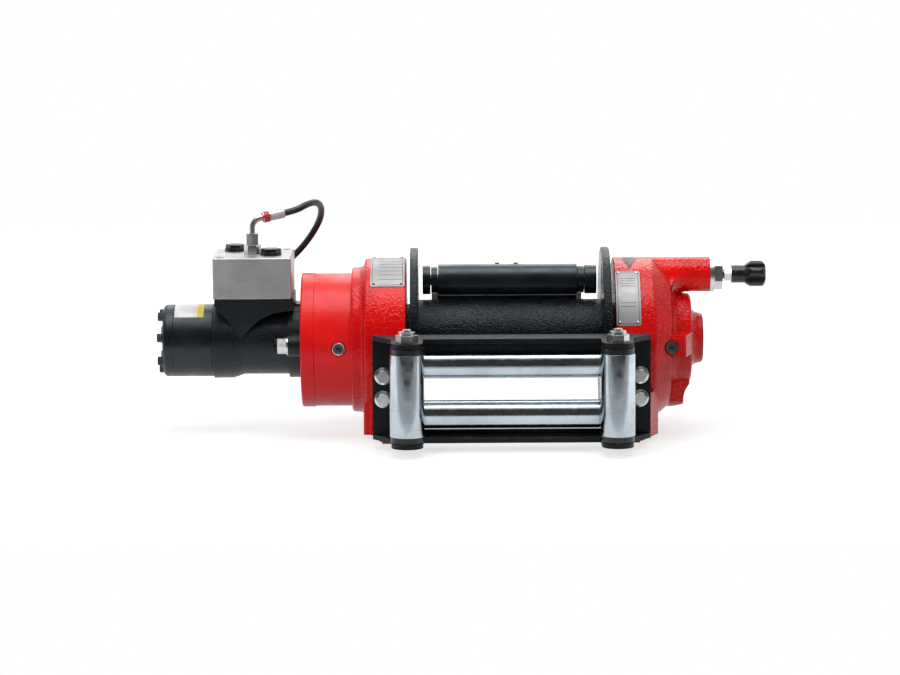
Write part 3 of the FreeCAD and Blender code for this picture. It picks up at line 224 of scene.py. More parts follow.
# %% Helpers for finishes
class Finish:
    """A material in the making: a surface shader, a place in metres and a softened edge."""

    COAT_ROUGH = 0.12

    def __init__(self, name, metal=0.0, coat=0.0, edge=0.0007, shine=0.5, tint=WHITE):
        self.material = bpy.data.materials.new(name)
        self.material.use_nodes = True
        self.tree = self.material.node_tree
        self.skin = self.tree.nodes["Principled BSDF"]
        self.skin.inputs["Metallic"].default_value = metal
        self.skin.inputs["Coat Weight"].default_value = coat
        self.skin.inputs["Coat Roughness"].default_value = self.COAT_ROUGH
        self.skin.inputs["Specular IOR Level"].default_value = shine
        self.skin.inputs["Specular Tint"].default_value = tint
        self.place = wire(self.tree, "TexCoord").outputs["Object"]
        self.soft = wire(self.tree, "Bevel", {"samples": 4}, Radius=edge).outputs["Normal"]
        self.height = None

    def noise(self, scale, detail=2.0, stretch=(1.0, 1.0, 1.0)):
        """Cloudy noise, 0 to 1, with so many grains a metre; stretch multiplies it by axis."""
        place = self.place
        if stretch != (1.0, 1.0, 1.0):
            place = wire(self.tree, "Mapping", Vector=place, Scale=stretch).outputs[0]
        return wire(self.tree, "TexNoise", Vector=place, Scale=scale,
                    Detail=detail).outputs[0]

    def step(self, value, low, high, out_low=0.0, out_high=1.0):
        """A smooth step in this material's own nodes."""
        return smooth_step(self.tree, value, low, high, out_low, out_high)

    def mix(self, share, first, second):
        """A colour between two, by a share from 0 to 1."""
        return wire(self.tree, "Mix", {"data_type": "RGBA"}, Factor=share, i6=first,
                    i7=second).outputs[2]

    def bump(self, height, distance):
        """Lays one more relief of so many metres over those before it."""
        normal = self.height or self.soft
        self.height = wire(self.tree, "Bump", Height=height, Distance=distance,
                           Normal=normal).outputs[0]

    def rubbed(self, grain=160.0):
        """A mask that is 1 on rubbed edges, broken up by noise."""
        true = wire(self.tree, "NewGeometry").outputs["Normal"]
        flat = wire(self.tree, "VectorMath", {"operation": "DOT_PRODUCT"}, i0=self.soft,
                    i1=true).outputs["Value"]
        edge = self.step(flat, 0.985, 0.90)
        return product(self.tree, edge, self.step(self.noise(grain, 3.0), 0.45, 0.62))

    def done(self, colour, rough):
        """Joins the colour, roughness and relief to the surface and returns the material."""
        for name, value in (("Base Color", colour), ("Roughness", rough)):
            if isinstance(value, bpy.types.NodeSocket):
                self.tree.links.new(value, self.skin.inputs[name])
            else:
                self.skin.inputs[name].default_value = value
        self.tree.links.new(self.height or self.soft, self.skin.inputs["Normal"])
        return self.material


FINISHES = {}
print("finish bench ready")

# %% [markdown]
# ## Red paint
# The two housings are sand castings under thick glossy enamel: the sand's grain shows through as
# small soft pebbles that catch the lamps in streaks. The gear case is turned steel under the same
# red, so it is satin and even. Both get slow changes of tone, darker where dust has settled, and
# dull rubbed edges. Two sizes of pebble lie over each other, and a fine orange peel over both.

# %% Red paint
RED_DUSTY = (0.45, 0.004, 0.006, 1.0)
RED_RUBBED = (0.30, 0.05, 0.045, 1.0)
ORANGE_PEEL = 0.00006


def red_paint(name, deep, bright, pebble, rough, coat, shine):
    """Red enamel; pebble is the height of the sand's grain under it, 0 for turned steel."""
    finish = Finish(name, coat=coat, shine=shine)
    tone = finish.mix(finish.step(finish.noise(14.0, 3.0), 0.35, 0.65), deep, bright)
    dirt = finish.step(finish.noise(38.0, 5.0), 0.60, 0.75, 0.0, 0.35)
    tone = finish.mix(dirt, tone, RED_DUSTY)
    tone = finish.mix(finish.rubbed(), tone, RED_RUBBED)
    if pebble:
        finish.bump(finish.noise(300.0, 1.0), pebble)
        finish.bump(finish.noise(110.0, 1.0), pebble * 0.6)
    finish.bump(finish.noise(900.0, 2.0), ORANGE_PEEL)
    gloss = finish.step(finish.noise(60.0, 3.0), 0.3, 0.7, rough, rough + 0.10)
    return finish.done(tone, gloss)


FINISHES["red_cast_paint"] = red_paint(
    "red_cast_paint", deep=(0.62, 0.001, 0.002, 1.0), bright=(0.80, 0.004, 0.003, 1.0),
    pebble=0.0013, rough=0.16, coat=0.14, shine=0.22)
FINISHES["red_smooth_paint"] = red_paint(
    "red_smooth_paint", deep=(0.72, 0.002, 0.004, 1.0), bright=(0.86, 0.006, 0.003, 1.0),
    pebble=0.0, rough=0.30, coat=0.0, shine=0.40)
print("red paints", len(FINISHES))

# %% [markdown]
# ## Black paint
# The drum is cast and painted like the housings, in a blue black, with a coarse grain. Blue-grey
# specks of painted highlight are laid at random on its grain, and on the motor casting's, where the
# lamp's glints would be. The motor casting has a finer, duller grain. The press roller and the
# motor's turned sections are smooth and satin, and the fairlead's sheet steel is duller still.
# Their highlights are slightly blue, which the specular tint gives.

# %% Black paint
BLUE_TINT = (0.80, 0.93, 1.0, 1.0)
# Blue-grey of the painted highlight specks on the black cast paints.
PAINTED_GLINT_BLUE = (0.10, 0.15, 0.19, 1.0)
BLACK_RUBBED = (0.13, 0.13, 0.13, 1.0)
FINE_GRAIN = 0.00005


def black_paint(name, deep, pale, grain, relief, rough, painted_glint=0.0, shine=0.5):
    """Black enamel with so many grains a metre, so many metres high, and specks of painted
    highlight of the given strength.
    """
    finish = Finish(name, shine=shine, tint=BLUE_TINT)
    tone = finish.mix(finish.step(finish.noise(18.0, 4.0), 0.35, 0.70), deep, pale)
    # Painted highlight: blue-grey specks stand for the lamp's glints on the grain.
    if painted_glint:
        glint_spots = finish.step(finish.noise(grain * 1.3, 2.0), 0.54, 0.66, 0.0, painted_glint)
        tone = finish.mix(glint_spots, tone, PAINTED_GLINT_BLUE)
    tone = finish.mix(finish.rubbed(), tone, BLACK_RUBBED)
    finish.bump(finish.noise(grain, 1.5), relief)
    finish.bump(finish.noise(1100.0, 2.0), FINE_GRAIN)
    gloss = finish.step(finish.noise(45.0, 4.0), 0.3, 0.7, rough, rough + 0.14)
    return finish.done(tone, gloss)


FINISHES["black_cast_paint"] = black_paint(
    "black_cast_paint", deep=(0.003, 0.004, 0.005, 1.0), pale=(0.006, 0.008, 0.010, 1.0),
    grain=470.0, relief=0.0012, rough=0.18, painted_glint=0.05, shine=0.20)
FINISHES["black_iron"] = black_paint(
    "black_iron", deep=(0.004, 0.004, 0.005, 1.0), pale=(0.008, 0.009, 0.010, 1.0),
    grain=620.0, relief=0.0007, rough=0.24, painted_glint=0.06, shine=0.40)
FINISHES["black_smooth_paint"] = black_paint(
    "black_smooth_paint", deep=(0.004, 0.005, 0.007, 1.0), pale=(0.010, 0.012, 0.015, 1.0),
    grain=600.0, relief=0.00008, rough=0.28)
FINISHES["black_plate_paint"] = black_paint(
    "black_plate_paint", deep=(0.004, 0.004, 0.005, 1.0), pale=(0.009, 0.009, 0.010, 1.0),
    grain=500.0, relief=0.00010, rough=0.40, shine=0.25)
print("black paints", [n for n in FINISHES if n.startswith("black")])

# %% [markdown]
# ## Bare and plated metal
# Zinc plating is a bright, slightly blue grey. The fairlead rollers were turned before plating,
# so fine rings run round them: noise is squeezed along each roller's axis and stretched round it,
# which needs one material for the upright pair and one for the pair that lies along the drum.
# The rope wears thin scratches in them. Bolts and nuts have no rings. The crimped ferrules are
# satin, and the valve block is milled aluminium, duller and warmer, with the mill's faint lines.
# Where a metal is dull, a part of it is lit like paint, so its Metallic is below one.

# %% Metal
METAL_STAIN = (0.40, 0.39, 0.36, 1.0)
ROPE_WEAR = (0.30, 0.31, 0.33, 1.0)
WEAR_LENGTH = 0.45


def plated(name, dark, light, rough, rings=None, relief=0.000012, metal=1.0, edge=0.0005):
    """A metal; rings are the grains a metre along X, Y and Z, few of them where a groove runs."""
    finish = Finish(name, metal=metal, edge=edge)
    tone = finish.mix(finish.step(finish.noise(22.0, 4.0), 0.30, 0.72), dark, light)
    stain = finish.step(finish.noise(70.0, 5.0), 0.58, 0.74, 0.0, 0.30)
    tone = finish.mix(stain, tone, METAL_STAIN)
    gloss = finish.step(finish.noise(110.0, 4.0), 0.3, 0.7, rough, rough + 0.12)
    if rings:
        finish.bump(finish.noise(1.0, 3.0, rings), relief)
        scratches = finish.noise(1.0, 2.0, tuple(r * WEAR_LENGTH for r in rings))
        worn = product(finish.tree, finish.step(scratches, 0.66, 0.72), 0.5)
        tone = finish.mix(worn, tone, ROPE_WEAR)
    else:
        finish.bump(finish.noise(350.0, 2.0), relief)
    return finish.done(tone, gloss)


ZINC = {"dark": (0.42, 0.48, 0.53, 1.0), "light": (0.53, 0.60, 0.65, 1.0)}
ACROSS, ALONG = 25.0, 1300.0
FINISHES["zinc_roller"] = plated("zinc_roller_upright", **ZINC, rough=0.08,
                                 rings=(ACROSS, ACROSS, ALONG), relief=0.000014)
FINISHES["zinc_roller_cross"] = plated("zinc_roller_cross", **ZINC, rough=0.11,
                                       rings=(ALONG, ACROSS, ACROSS))
FINISHES["zinc_bolt"] = plated(
    "zinc_bolt", dark=(0.54, 0.56, 0.56, 1.0), light=(0.68, 0.70, 0.69, 1.0), rough=0.20,
    relief=0.000005, metal=0.94)
FINISHES["crimped_steel"] = plated(
    "crimped_steel", dark=(0.52, 0.53, 0.52, 1.0), light=(0.62, 0.62, 0.60, 1.0), rough=0.36,
    relief=0.000005, metal=0.4)
FINISHES["dark_steel"] = plated(
    "dark_steel", dark=(0.09, 0.09, 0.09, 1.0), light=(0.20, 0.20, 0.19, 1.0), rough=0.30)
FINISHES["brass_tip"] = plated(
    "brass_tip", dark=(0.50, 0.42, 0.27, 1.0), light=(0.66, 0.58, 0.40, 1.0), rough=0.25)
FINISHES["block_aluminium"] = plated(
    "block_aluminium", dark=(0.42, 0.42, 0.42, 1.0), light=(0.52, 0.52, 0.51, 1.0), rough=0.36,
    rings=(500.0, 500.0, 40.0), relief=0.00002, metal=0.55)
FINISHES["plate_metal"] = plated(
    "plate_metal", dark=(0.30, 0.30, 0.31, 1.0), light=(0.40, 0.39, 0.39, 1.0), rough=0.42,
    rings=(60.0, 900.0, 900.0), relief=0.00001, metal=0.35)
print("metals done,", len(FINISHES), "finishes")

# %% [markdown]
# ## Rubber and plastic
# The hose cover is satin rubber with an even, fine grain. The knob, the port plugs and the
# roller bushes are moulded plastic: black, smooth, and greyed by hands where they are touched.
# Printed film for the labels and marks is made the same way, so one function makes them all.

# %% Rubber and plastic
HAND_GREY = (0.07, 0.068, 0.065, 1.0)


def moulded(name, deep, pale, grain, relief, rough):
    """Rubber, plastic or printed film with a grain, greyed at its edges."""
    finish = Finish(name, edge=0.0005)
    tone = finish.mix(finish.step(finish.noise(60.0, 4.0), 0.35, 0.70), deep, pale)
    tone = finish.mix(finish.rubbed(300.0), tone, HAND_GREY)
    finish.bump(finish.noise(grain, 2.0), relief)
    gloss = finish.step(finish.noise(90.0, 3.0), 0.3, 0.7, rough, rough + 0.15)
    return finish.done(tone, gloss)


FINISHES["hose_rubber"] = moulded(
    "hose_rubber", deep=(0.010, 0.011, 0.011, 1.0), pale=(0.020, 0.020, 0.020, 1.0),
    grain=900.0, relief=0.000008, rough=0.36)
FINISHES["black_plastic"] = moulded(
    "black_plastic", deep=(0.006, 0.006, 0.007, 1.0), pale=(0.016, 0.016, 0.017, 1.0),
    grain=500.0, relief=0.00006, rough=0.24)
FINISHES["red_sleeve"] = moulded(
    "red_sleeve", deep=(0.50, 0.010, 0.020, 1.0), pale=(0.70, 0.020, 0.030, 1.0),
    grain=700.0, relief=0.00005, rough=0.30)
FINISHES["printed_black"] = moulded(
    "printed_black", deep=(0.018, 0.010, 0.010, 1.0), pale=(0.040, 0.020, 0.018, 1.0),
    grain=400.0, relief=0.00004, rough=0.40)
FINISHES["label_white"] = moulded(
    "label_white", deep=(0.62, 0.62, 0.60, 1.0), pale=(0.78, 0.78, 0.76, 1.0),
    grain=300.0, relief=0.00003, rough=0.45)
FINISHES["label_yellow"] = moulded(
    "label_yellow", deep=(0.60, 0.50, 0.03, 1.0), pale=(0.75, 0.66, 0.06, 1.0),
    grain=300.0, relief=0.00003, rough=0.45)
print("all finishes", sorted(FINISHES))

# %% [markdown]
# ## Dressing the solids
# Each solid came with the name of its finish, so one loop can dress them all. Only the two rollers
# that lie along the drum need another material than their name says, for the sake of their rings,
# and the fairlead's sheets, which are duller than the other black parts.

# %% Dress the solids
CROSS_ROLLERS = ("upper_roller", "lower_roller")
FAIRLEAD_SHEETS = ("fairlead_plate", "fairlead_ears", "fairlead_side_lugs")
for node_name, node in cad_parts.items():
    slot_name = node.data.materials[0].name.split(".")[0]
    if node_name.startswith(CROSS_ROLLERS) and slot_name == "zinc_roller":
        slot_name = "zinc_roller_cross"
    if node_name in FAIRLEAD_SHEETS:
        slot_name = "black_plate_paint"
    node.data.materials.clear()
    node.data.materials.append(FINISHES[slot_name])
print("dressed", len(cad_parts), "solids")

# %% [markdown]
# ## The brake hose
# A short, stiff hose takes oil from the valve block to the brake behind it. It is one smooth
# NURBS curve over the same ten points that the solid was bent along, so it lies in the same
# place. Order three keeps it close to those points, and the clamped end makes it start inside
# its ferrule. The thickness is given by each point's radius with a bevel of one metre, because a
# curve's box is reckoned from those radii, and a radius left at one would make the box too large.

# %% Brake hose
HOSE_POINTS = (
    (-0.28712, 0.00534, 0.28091), (-0.27214, 0.01035, 0.28347), (-0.2568, 0.0224, 0.2912),
    (-0.2459, 0.0407, 0.2913), (-0.2405, 0.0610, 0.2814), (-0.2443, 0.0782, 0.2618),
    (-0.2607, 0.0854, 0.2355), (-0.2789, 0.0854, 0.2158), (-0.29583, 0.0850, 0.2014),
    (-0.30884, 0.0850, 0.18755))
HOSE_DIAMETER = 0.0085
hose_curve = bpy.data.curves.new("brake_hose_line", "CURVE")
hose_curve.dimensions = "3D"
hose_curve.bevel_depth = 1.0
hose_curve.bevel_resolution = 8
hose_curve.resolution_u = 16
hose_curve.use_fill_caps = True
hose_line = hose_curve.splines.new("NURBS")
hose_line.points.add(len(HOSE_POINTS) - 1)
for point, place in zip(hose_line.points, HOSE_POINTS):
    point.co = (*place, 1.0)
    point.radius = HOSE_DIAMETER / 2
hose_line.order_u = 3
hose_line.use_endpoint_u = True
brake_hose = bpy.data.objects.new("hose_cover", hose_curve)
bpy.context.scene.collection.objects.link(brake_hose)
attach(brake_hose, "root")
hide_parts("brake_hose")
hose_curve.materials.append(FINISHES["hose_rubber"])

# %% [markdown]
# ## Turned small parts
# Rivets, sleeves and crimped ferrules are all round, so one helper turns an outline about a line.
# A screw modifier would do the same; building the rings by hand lets the part point anywhere.

# %% Turning helper
SHARP_FROM = math.radians(35.0)


def dress(name, mesh, body, finish_name, bevel=0.0):
    """Makes the object, smooths it, and ties it to its body, slot and finish."""
    piece = bpy.data.objects.new(name, mesh)
    bpy.context.scene.collection.objects.link(piece)
    for face in mesh.polygons:
        face.use_smooth = True
    mesh.set_sharp_from_angle(angle=SHARP_FROM)
    mesh.materials.append(FINISHES[finish_name])
    if bevel:
        rounding = piece.modifiers.new("soft_edges", "BEVEL")
        rounding.width = bevel
        rounding.segments = 2
        rounding.limit_method = "ANGLE"
        rounding.angle_limit = SHARP_FROM
    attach(piece, body)
    return piece


def turn_into(form, outline, place, direction, sides=32):
    """Adds the outline (along, radius) turned about a line through a place."""
    axis = Vector(direction).normalized()
    across = axis.orthogonal().normalized()
    third = axis.cross(across)
    rings = []
    for along, radius in outline:
        centre = Vector(place) + axis * along
        if radius == 0.0:
            rings.append([form.verts.new(centre)])
            continue
        turns = [2 * math.pi * i / sides for i in range(sides)]
        rings.append([form.verts.new(centre + radius * (
            across * math.cos(turn) + third * math.sin(turn))) for turn in turns])
    for low, high in zip(rings, rings[1:]):
        for i in range(sides):
            j = (i + 1) % sides
            a, b = low[i % len(low)], low[j % len(low)]
            c, d = high[j % len(high)], high[i % len(high)]
            form.faces.new([v for n, v in enumerate((a, b, c, d)) if v not in (a, b, c, d)[:n]])


def mesh_of(name, form):
    """Closes a form into a mesh with its faces turned outwards."""
    bmesh.ops.recalc_face_normals(form, faces=form.faces)
    mesh = bpy.data.meshes.new(name)
    form.to_mesh(mesh)
    form.free()
    return mesh


print("turning helper ready")

# %% [markdown]
# ## Sleeves and ferrules of the hose
# Each end of the hose is crimped into a steel ferrule, whose jaws leave rings, and a red sleeve
# sits between it and the bent pipe. They are turned about the line of each ferrule, over the plain
# solids, and ride on the body as the pipes do.

# %% Sleeves and ferrules
TOP_WAY = Vector((0.9361, 0.3132, 0.1599))
REAR_WAY = Vector((0.6845, 0.0, 0.7290))
FERRULE_LONG = 0.0194
SLEEVE_LONG = 0.0092
SLEEVE_OUTLINE = ((-0.0002, 0.0), (-0.0002, 0.0058), (0.0004, 0.0068), (0.0016, 0.00715),
                  (0.0046, 0.0070), (0.0076, 0.00715), (0.0090, 0.0067), (0.0094, 0.0061),
                  (0.0094, 0.0))
RIB_COUNT = 4
ferrule_outline = [(0.0, 0.0), (0.0, 0.00605)]
rib_step = FERRULE_LONG / RIB_COUNT
for i in range(RIB_COUNT):
    start = i * rib_step
    ferrule_outline += [(start + rib_step * s, r) for s, r in (
        (0.12, 0.00608), (0.30, 0.00622), (0.60, 0.00622), (0.78, 0.00608))]
ferrule_outline += [(FERRULE_LONG, 0.0060), (FERRULE_LONG + 0.0002, 0.0)]
for end_name, mouth, way in (("top", HOSE_POINTS[0], TOP_WAY), ("rear", HOSE_POINTS[-1], REAR_WAY)):
    start = Vector(mouth) - way * FERRULE_LONG
    form = bmesh.new()
    turn_into(form, ferrule_outline, start, way)
    dress(end_name + "_ferrule_crimps", mesh_of(end_name + "_ferrule_crimps", form), "root",
          "crimped_steel")
    form = bmesh.new()
    turn_into(form, SLEEVE_OUTLINE, start - way * SLEEVE_LONG, way)
    dress(end_name + "_red_sleeve", mesh_of(end_name + "_red_sleeve", form), "root",
          "red_sleeve")
print("two ferrules with", RIB_COUNT, "crimps each, two sleeves")

# %% [markdown]
# ## Plates and marks that lie on round castings
# The two data plates, their rivets and the arrow follow the barrel of the housings. They are drawn
# flat, in metres along the drum and round it, given a thickness, cut into narrow strips, and only
# then bent on to the barrel. The plates stay blank: just a frame line and empty rows.

# %% Bending helper
STRIP = 0.004


def bent_sheet(name, outlines, radius, thickness, lift=0.0):
    """Flat outlines (x, way round from the front) made into a sheet that is bent on to a barrel."""
    form = bmesh.new()
    for outline in outlines:
        form.faces.new([form.verts.new((x, along, 0.0)) for x, along in outline])
    grown = bmesh.ops.extrude_face_region(form, geom=form.faces[:])
    for vert in (v for v in grown["geom"] if isinstance(v, bmesh.types.BMVert)):
        vert.co.z = thickness
    low = min(v.co.y for v in form.verts)
    high = max(v.co.y for v in form.verts)
    for i in range(1, int((high - low) / STRIP) + 1):
        bmesh.ops.bisect_plane(form, geom=form.verts[:] + form.edges[:] + form.faces[:],
                               plane_co=(0.0, low + i * STRIP, 0.0), plane_no=(0.0, 1.0, 0.0))
    for vert in form.verts:
        angle = vert.co.y / radius
        out = radius + lift + vert.co.z
        vert.co = (vert.co.x, -out * math.cos(angle), DRUM_HEIGHT + out * math.sin(angle))
    return mesh_of(name, form)


def rounded(left, right, low, high, corner, steps=4):
    """Outline of a rectangle with round corners."""
    points = []
    for x, y, first in ((right - corner, low + corner, 270), (right - corner, high - corner, 0),
                        (left + corner, high - corner, 90), (left + corner, low + corner, 180)):
        for i in range(steps + 1):
            turn = math.radians(first + 90 * i / steps)
            points.append((x + corner * math.cos(turn), y + corner * math.sin(turn)))
    return points


def bars(left, right, low, high, width):
    """Four thin rectangles that frame a rectangle."""
    return [[(left, low), (right, low), (right, low + width), (left, low + width)],
            [(left, high - width), (right, high - width), (right, high), (left, high)],
            [(left, low + width), (left + width, low + width), (left + width, high - width),
             (left, high - width)],
            [(right - width, low + width), (right, low + width), (right, high - width),
             (right - width, high - width)]]


def around(degrees, radius):
    """How far round a barrel an angle above the front is, in metres."""
    return math.radians(degrees) * radius


HOUSING_R = 0.1035
print("one degree of the housing is", round(around(1.0, HOUSING_R) * 1000, 2), "mm")

# %% Left data plate
LEFT_PLATE = (-0.1764, -0.1332, around(47.6, HOUSING_R), around(101.0, HOUSING_R))
PLATE_THICK = 0.0009
PLATE_CORNER = 0.003
PLATE_BEVEL = 0.0002
PRINT_THICK = 0.00006
INSET = 0.0022
LINE = 0.0006
ROWS = 9
ROWS_LOW, ROWS_LESS, ROWS_LEFT = 0.012, 0.020, 0.010


def data_plate(name, plate):
    """A thin sheet with round corners on a housing, and the four lines that frame it."""
    sheet = bent_sheet(name, [rounded(*plate, PLATE_CORNER)], HOUSING_R, PLATE_THICK)
    dress(name, sheet, "root", "plate_metal", PLATE_BEVEL)
    left, right, low, high = plate
    return bars(left + INSET, right - INSET, low + INSET, high - INSET, LINE)


def row(left, right, at):
    """One thin line along the drum."""
    return [(left, at), (right, at), (right, at + LINE), (left, at + LINE)]


def print_lines(name, lines):
    """Lays printed lines on a plate."""
    dress(name, bent_sheet(name, lines, HOUSING_R, PRINT_THICK, PLATE_THICK), "root",
          "printed_black")


lines = data_plate("left_data_plate", LEFT_PLATE)
left, right, low, high = LEFT_PLATE
row_step = (high - low - ROWS_LESS) / ROWS
for i in range(ROWS + 1):
    lines.append(row(left + ROWS_LEFT, right - INSET - LINE, low + ROWS_LOW + i * row_step))
print_lines("left_plate_lines", lines)
print("left plate", round((right - left) * 1000, 1), "x", round((high - low) * 1000, 1), "mm")

# %% [markdown]
# The right housing has a narrower plate, lower down. The same helpers draw it, with a few short
# rows at the heights where the real one has its lines.

# %% Right data plate
ROW_HEIGHTS = (0.30, 0.36, 0.66, 0.71, 0.76, 0.81)
RIGHT_PLATE = (0.1322, 0.1632, around(16.4, HOUSING_R), around(62.4, HOUSING_R))
ROW_INSET = 0.006
lines = data_plate("right_data_plate", RIGHT_PLATE)
left, right, low, high = RIGHT_PLATE
for share in ROW_HEIGHTS:
    lines.append(row(left + ROW_INSET, right - ROW_INSET, low + (high - low) * share))
print_lines("right_plate_lines", lines)
print("right plate", round((right - left) * 1000, 1), "x", round((high - low) * 1000, 1), "mm")

# %% [markdown]
# Four domed rivets hold each plate, dark on the left one and bright on the right one. Each stands
# square to the barrel, so its direction comes from how far round it sits.

# %% Rivets of the plates
RIVET_OUTLINE = ((-0.0006, 0.0), (-0.0006, 0.0017), (0.0, 0.0019), (0.0004, 0.0018),
                 (0.0008, 0.0013), (0.00105, 0.0006), (0.0011, 0.0))
RIVET_INSET = 0.0042
for side_name, plate, finish_name in (("left", LEFT_PLATE, "dark_steel"),
                                      ("right", RIGHT_PLATE, "zinc_bolt")):
    form = bmesh.new()
    left, right, low, high = plate
    for x in (left + RIVET_INSET, right - RIVET_INSET):
        for along in (low + RIVET_INSET, high - RIVET_INSET):
            angle = along / HOUSING_R
            way = Vector((0.0, -math.cos(angle), math.sin(angle)))
            foot = Vector((x, 0.0, DRUM_HEIGHT)) + way * (HOUSING_R + PLATE_THICK)
            turn_into(form, RIVET_OUTLINE, foot, way, 16)
    dress(side_name + "_plate_rivets", mesh_of(side_name + "_plate_rivets", form), "root",
          finish_name)
print("eight rivets")

# %% [markdown]
# A painted arrow on the right housing shows which way the drum turns. It is one flat outline of
# seven points, bent on to the barrel as the plates are, and as thin as a film.

# %% Direction arrow
ARROW_X = 0.1515
STEM_HALF = 0.0068
HEAD_HALF = 0.0108
tip, shoulder, top = (around(a, HOUSING_R) for a in (66.1, 83.9, 99.0))
arrow = [(ARROW_X, tip), (ARROW_X + HEAD_HALF, shoulder), (ARROW_X + STEM_HALF, shoulder),
         (ARROW_X + STEM_HALF, top), (ARROW_X - STEM_HALF, top), (ARROW_X - STEM_HALF, shoulder),
         (ARROW_X - HEAD_HALF, shoulder)]
FILM_THICK = 0.00015
dress("direction_arrow", bent_sheet("direction_arrow", [arrow], HOUSING_R, FILM_THICK), "root",
      "printed_black")
print("arrow of", round((top - tip) * 1000, 1), "mm")

# %% [markdown]
# ## The motor's label
# A paper label wraps the top of the motor's gear section: a white field with a yellow strip at one
# end. It is left blank. It is bent on to the smaller barrel with the same helper.

# %% Motor label
MOTOR_R = 0.046
label_low, label_high = around(47.1, MOTOR_R), around(103.0, MOTOR_R)
LABEL_FIELDS = (("motor_label_field", -0.4266, -0.3971, "label_white"),
                ("motor_label_strip", -0.3971, -0.3892, "label_yellow"))
LABEL_THICK = 0.00018
for label_name, left, right, finish_name in LABEL_FIELDS:
    outline = [(left, label_low), (right, label_low), (right, label_high), (left, label_high)]
    dress(label_name, bent_sheet(label_name, [outline], MOTOR_R, LABEL_THICK), "root",
          finish_name)
print("label of", round((label_high - label_low) * 1000, 1), "mm round the motor")

# %% [markdown]
# ## Plugs and cover bolts
# The oil plugs sit in sealing rings and have a deep hexagon socket, dark inside with shade. A
# hole could be cut into each plug, but at this size a ring and a black hexagon of painted shade
# laid on its face read the same. The turning helper makes both: a turned outline with six sides is
# a hexagon.

# %% Plug rings and sockets
PLUG_PLACES = ((-0.2165, -0.0862, "zinc_bolt"), (0.2020, -0.0875, "dark_steel"))
RING_OUTLINE = ((0.0, 0.0066), (0.0003, 0.0068), (0.0004, 0.0074), (0.0001, 0.0080),
                (-0.0006, 0.0081))
SOCKET_SHADE_OUTLINE = ((-0.0004, 0.0), (-0.0004, 0.0024), (0.0, 0.0030), (0.0002, 0.0033),
                  (0.0, 0.0036))
FORWARD = (0.0, -1.0, 0.0)
HEXAGON = 6
for number, (x, face_y, ring_finish) in enumerate(PLUG_PLACES, 1):
    form = bmesh.new()
    turn_into(form, RING_OUTLINE, (x, face_y, DRUM_HEIGHT), FORWARD)
    dress(f"plug_ring_{number}", mesh_of(f"plug_ring_{number}", form), "root",
          ring_finish)
    # Painted shade: a black hexagon on the plug's face stands for the shaded inside of its socket.
    form = bmesh.new()
    turn_into(form, SOCKET_SHADE_OUTLINE, (x, face_y, DRUM_HEIGHT), FORWARD, HEXAGON)
    dress(f"plug_socket_shade_{number}", mesh_of(f"plug_socket_shade_{number}", form), "root",
          "black_plastic")
print("plugs at", [p[0] for p in PLUG_PLACES])

# %% [markdown]
# The motor's end cover is held by seven dark bolts. Here they get their washers and the small turn
# that they have on the real motor, and stand for the plain ones of the solid.

# %% Motor cover bolts
COVER_FACE_X = -0.4415
BOLT_CIRCLE = 0.036
BOLT_TURN = 13.0
BOLT_COUNT = 7
WASHER_OUTLINE = ((0.0, 0.0), (0.0, 0.0066), (0.0008, 0.0066), (0.0011, 0.0063), (0.0011, 0.0))
HEAD_OUTLINE = ((0.0010, 0.0), (0.0010, 0.0062), (0.0058, 0.0062), (0.0069, 0.0054), (0.0069, 0.0))
OUT_OF_COVER = (-1.0, 0.0, 0.0)
WASHER_SIDES = 24
form = bmesh.new()
for i in range(BOLT_COUNT):
    angle = math.radians(BOLT_TURN + 360.0 * i / BOLT_COUNT)
    place = (COVER_FACE_X, -BOLT_CIRCLE * math.cos(angle),
             DRUM_HEIGHT + BOLT_CIRCLE * math.sin(angle))
    turn_into(form, WASHER_OUTLINE, place, OUT_OF_COVER, WASHER_SIDES)
    turn_into(form, HEAD_OUTLINE, place, OUT_OF_COVER, HEXAGON)
cover_bolts = dress("cover_bolt_heads", mesh_of("cover_bolt_heads", form), "root",
                    "black_smooth_paint")
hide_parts("motor_cover_bolts")
print(BOLT_COUNT, "cover bolts")

# %% [markdown]
# ## Marks on the bolt heads
# The four flange bolts of the fairlead carry a ring of small raised dots on their heads. Each dot
# is a tiny dome.

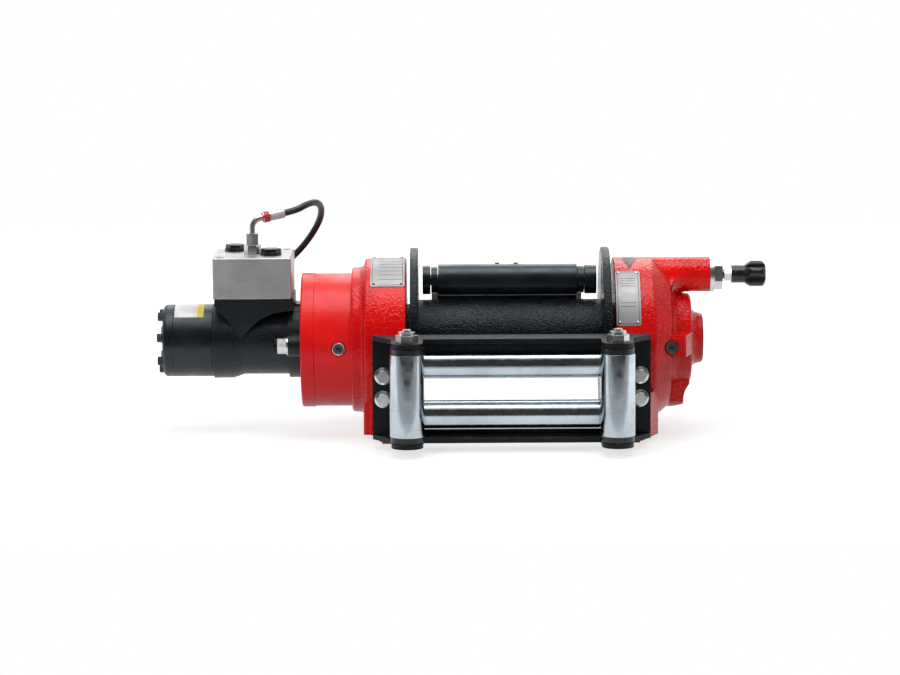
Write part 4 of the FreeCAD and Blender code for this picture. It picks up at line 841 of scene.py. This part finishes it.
# %% Bolt head dots
HEAD_FACE_Y = -0.144
PLATE_BOLTS = [(x, z) for x in (-0.1596, 0.1596) for z in (0.0915, 0.0625)]
DOT_OUTLINE = ((-0.0003, 0.0), (-0.0003, 0.0007), (0.00015, 0.0006), (0.0003, 0.0003),
               (0.00035, 0.0))
DOT_COUNT = 8
DOT_RING = 0.0054
DOT_SIDES = 8
form = bmesh.new()
for x, z in PLATE_BOLTS:
    for i in range(DOT_COUNT):
        turn = 2 * math.pi * i / DOT_COUNT
        place = (x + DOT_RING * math.cos(turn), HEAD_FACE_Y, z + DOT_RING * math.sin(turn))
        turn_into(form, DOT_OUTLINE, place, FORWARD, DOT_SIDES)
dress("bolt_head_dots", mesh_of("bolt_head_dots", form), "root", "zinc_bolt")
print(len(PLATE_BOLTS) * DOT_COUNT, "dots")

# %% [markdown]
# The flange under each hexagon is dished on the real bolt, so it catches the lamp above, while the
# hexagon's flat face shows the dark side of the room. A turned ring with a sloping face is laid
# over the flat flange of the solid.

# %% Dished flanges
FLANGE_FACE_Y = -0.136
DISH_OUTLINE = ((-0.0005, 0.0072), (0.0024, 0.0072), (0.0021, 0.0080), (0.0005, 0.0108),
                (-0.0005, 0.0109))
form = bmesh.new()
for x, z in PLATE_BOLTS:
    turn_into(form, DISH_OUTLINE, (x, FLANGE_FACE_Y, z), FORWARD)
dress("bolt_flange_dishes", mesh_of("bolt_flange_dishes", form), "root", "zinc_bolt")
print(len(PLATE_BOLTS), "dished flanges")

# %% [markdown]
# ## The end of the right boss
# A thin black ring of painted shade lies at the outer end of the right housing's boss, where the
# edge of its end face turns away from the lamps. It is turned, and lies on the rim round the
# boss's shallow recess.

# %% Painted shade ring at the boss end
BOSS_END_X = 0.2447
SHADE_RING_OUTLINE = ((-0.0004, 0.0264), (0.0010, 0.0266), (0.0014, 0.0275), (0.0014, 0.0298),
                  (0.0010, 0.0305), (-0.0004, 0.0306))
SHADE_RING_SIDES = 64
# Painted shade: a black ring stands for the shaded edge of the boss's end face.
form = bmesh.new()
turn_into(form, SHADE_RING_OUTLINE, (BOSS_END_X, 0.0, DRUM_HEIGHT), (1.0, 0.0, 0.0), SHADE_RING_SIDES)
dress("boss_shade_ring", mesh_of("boss_shade_ring", form), "root", "black_plastic")
# The ring printed below is the painted shade ring.
print("painted shade ring of", 2 * SHADE_RING_OUTLINE[-1][1], "m")
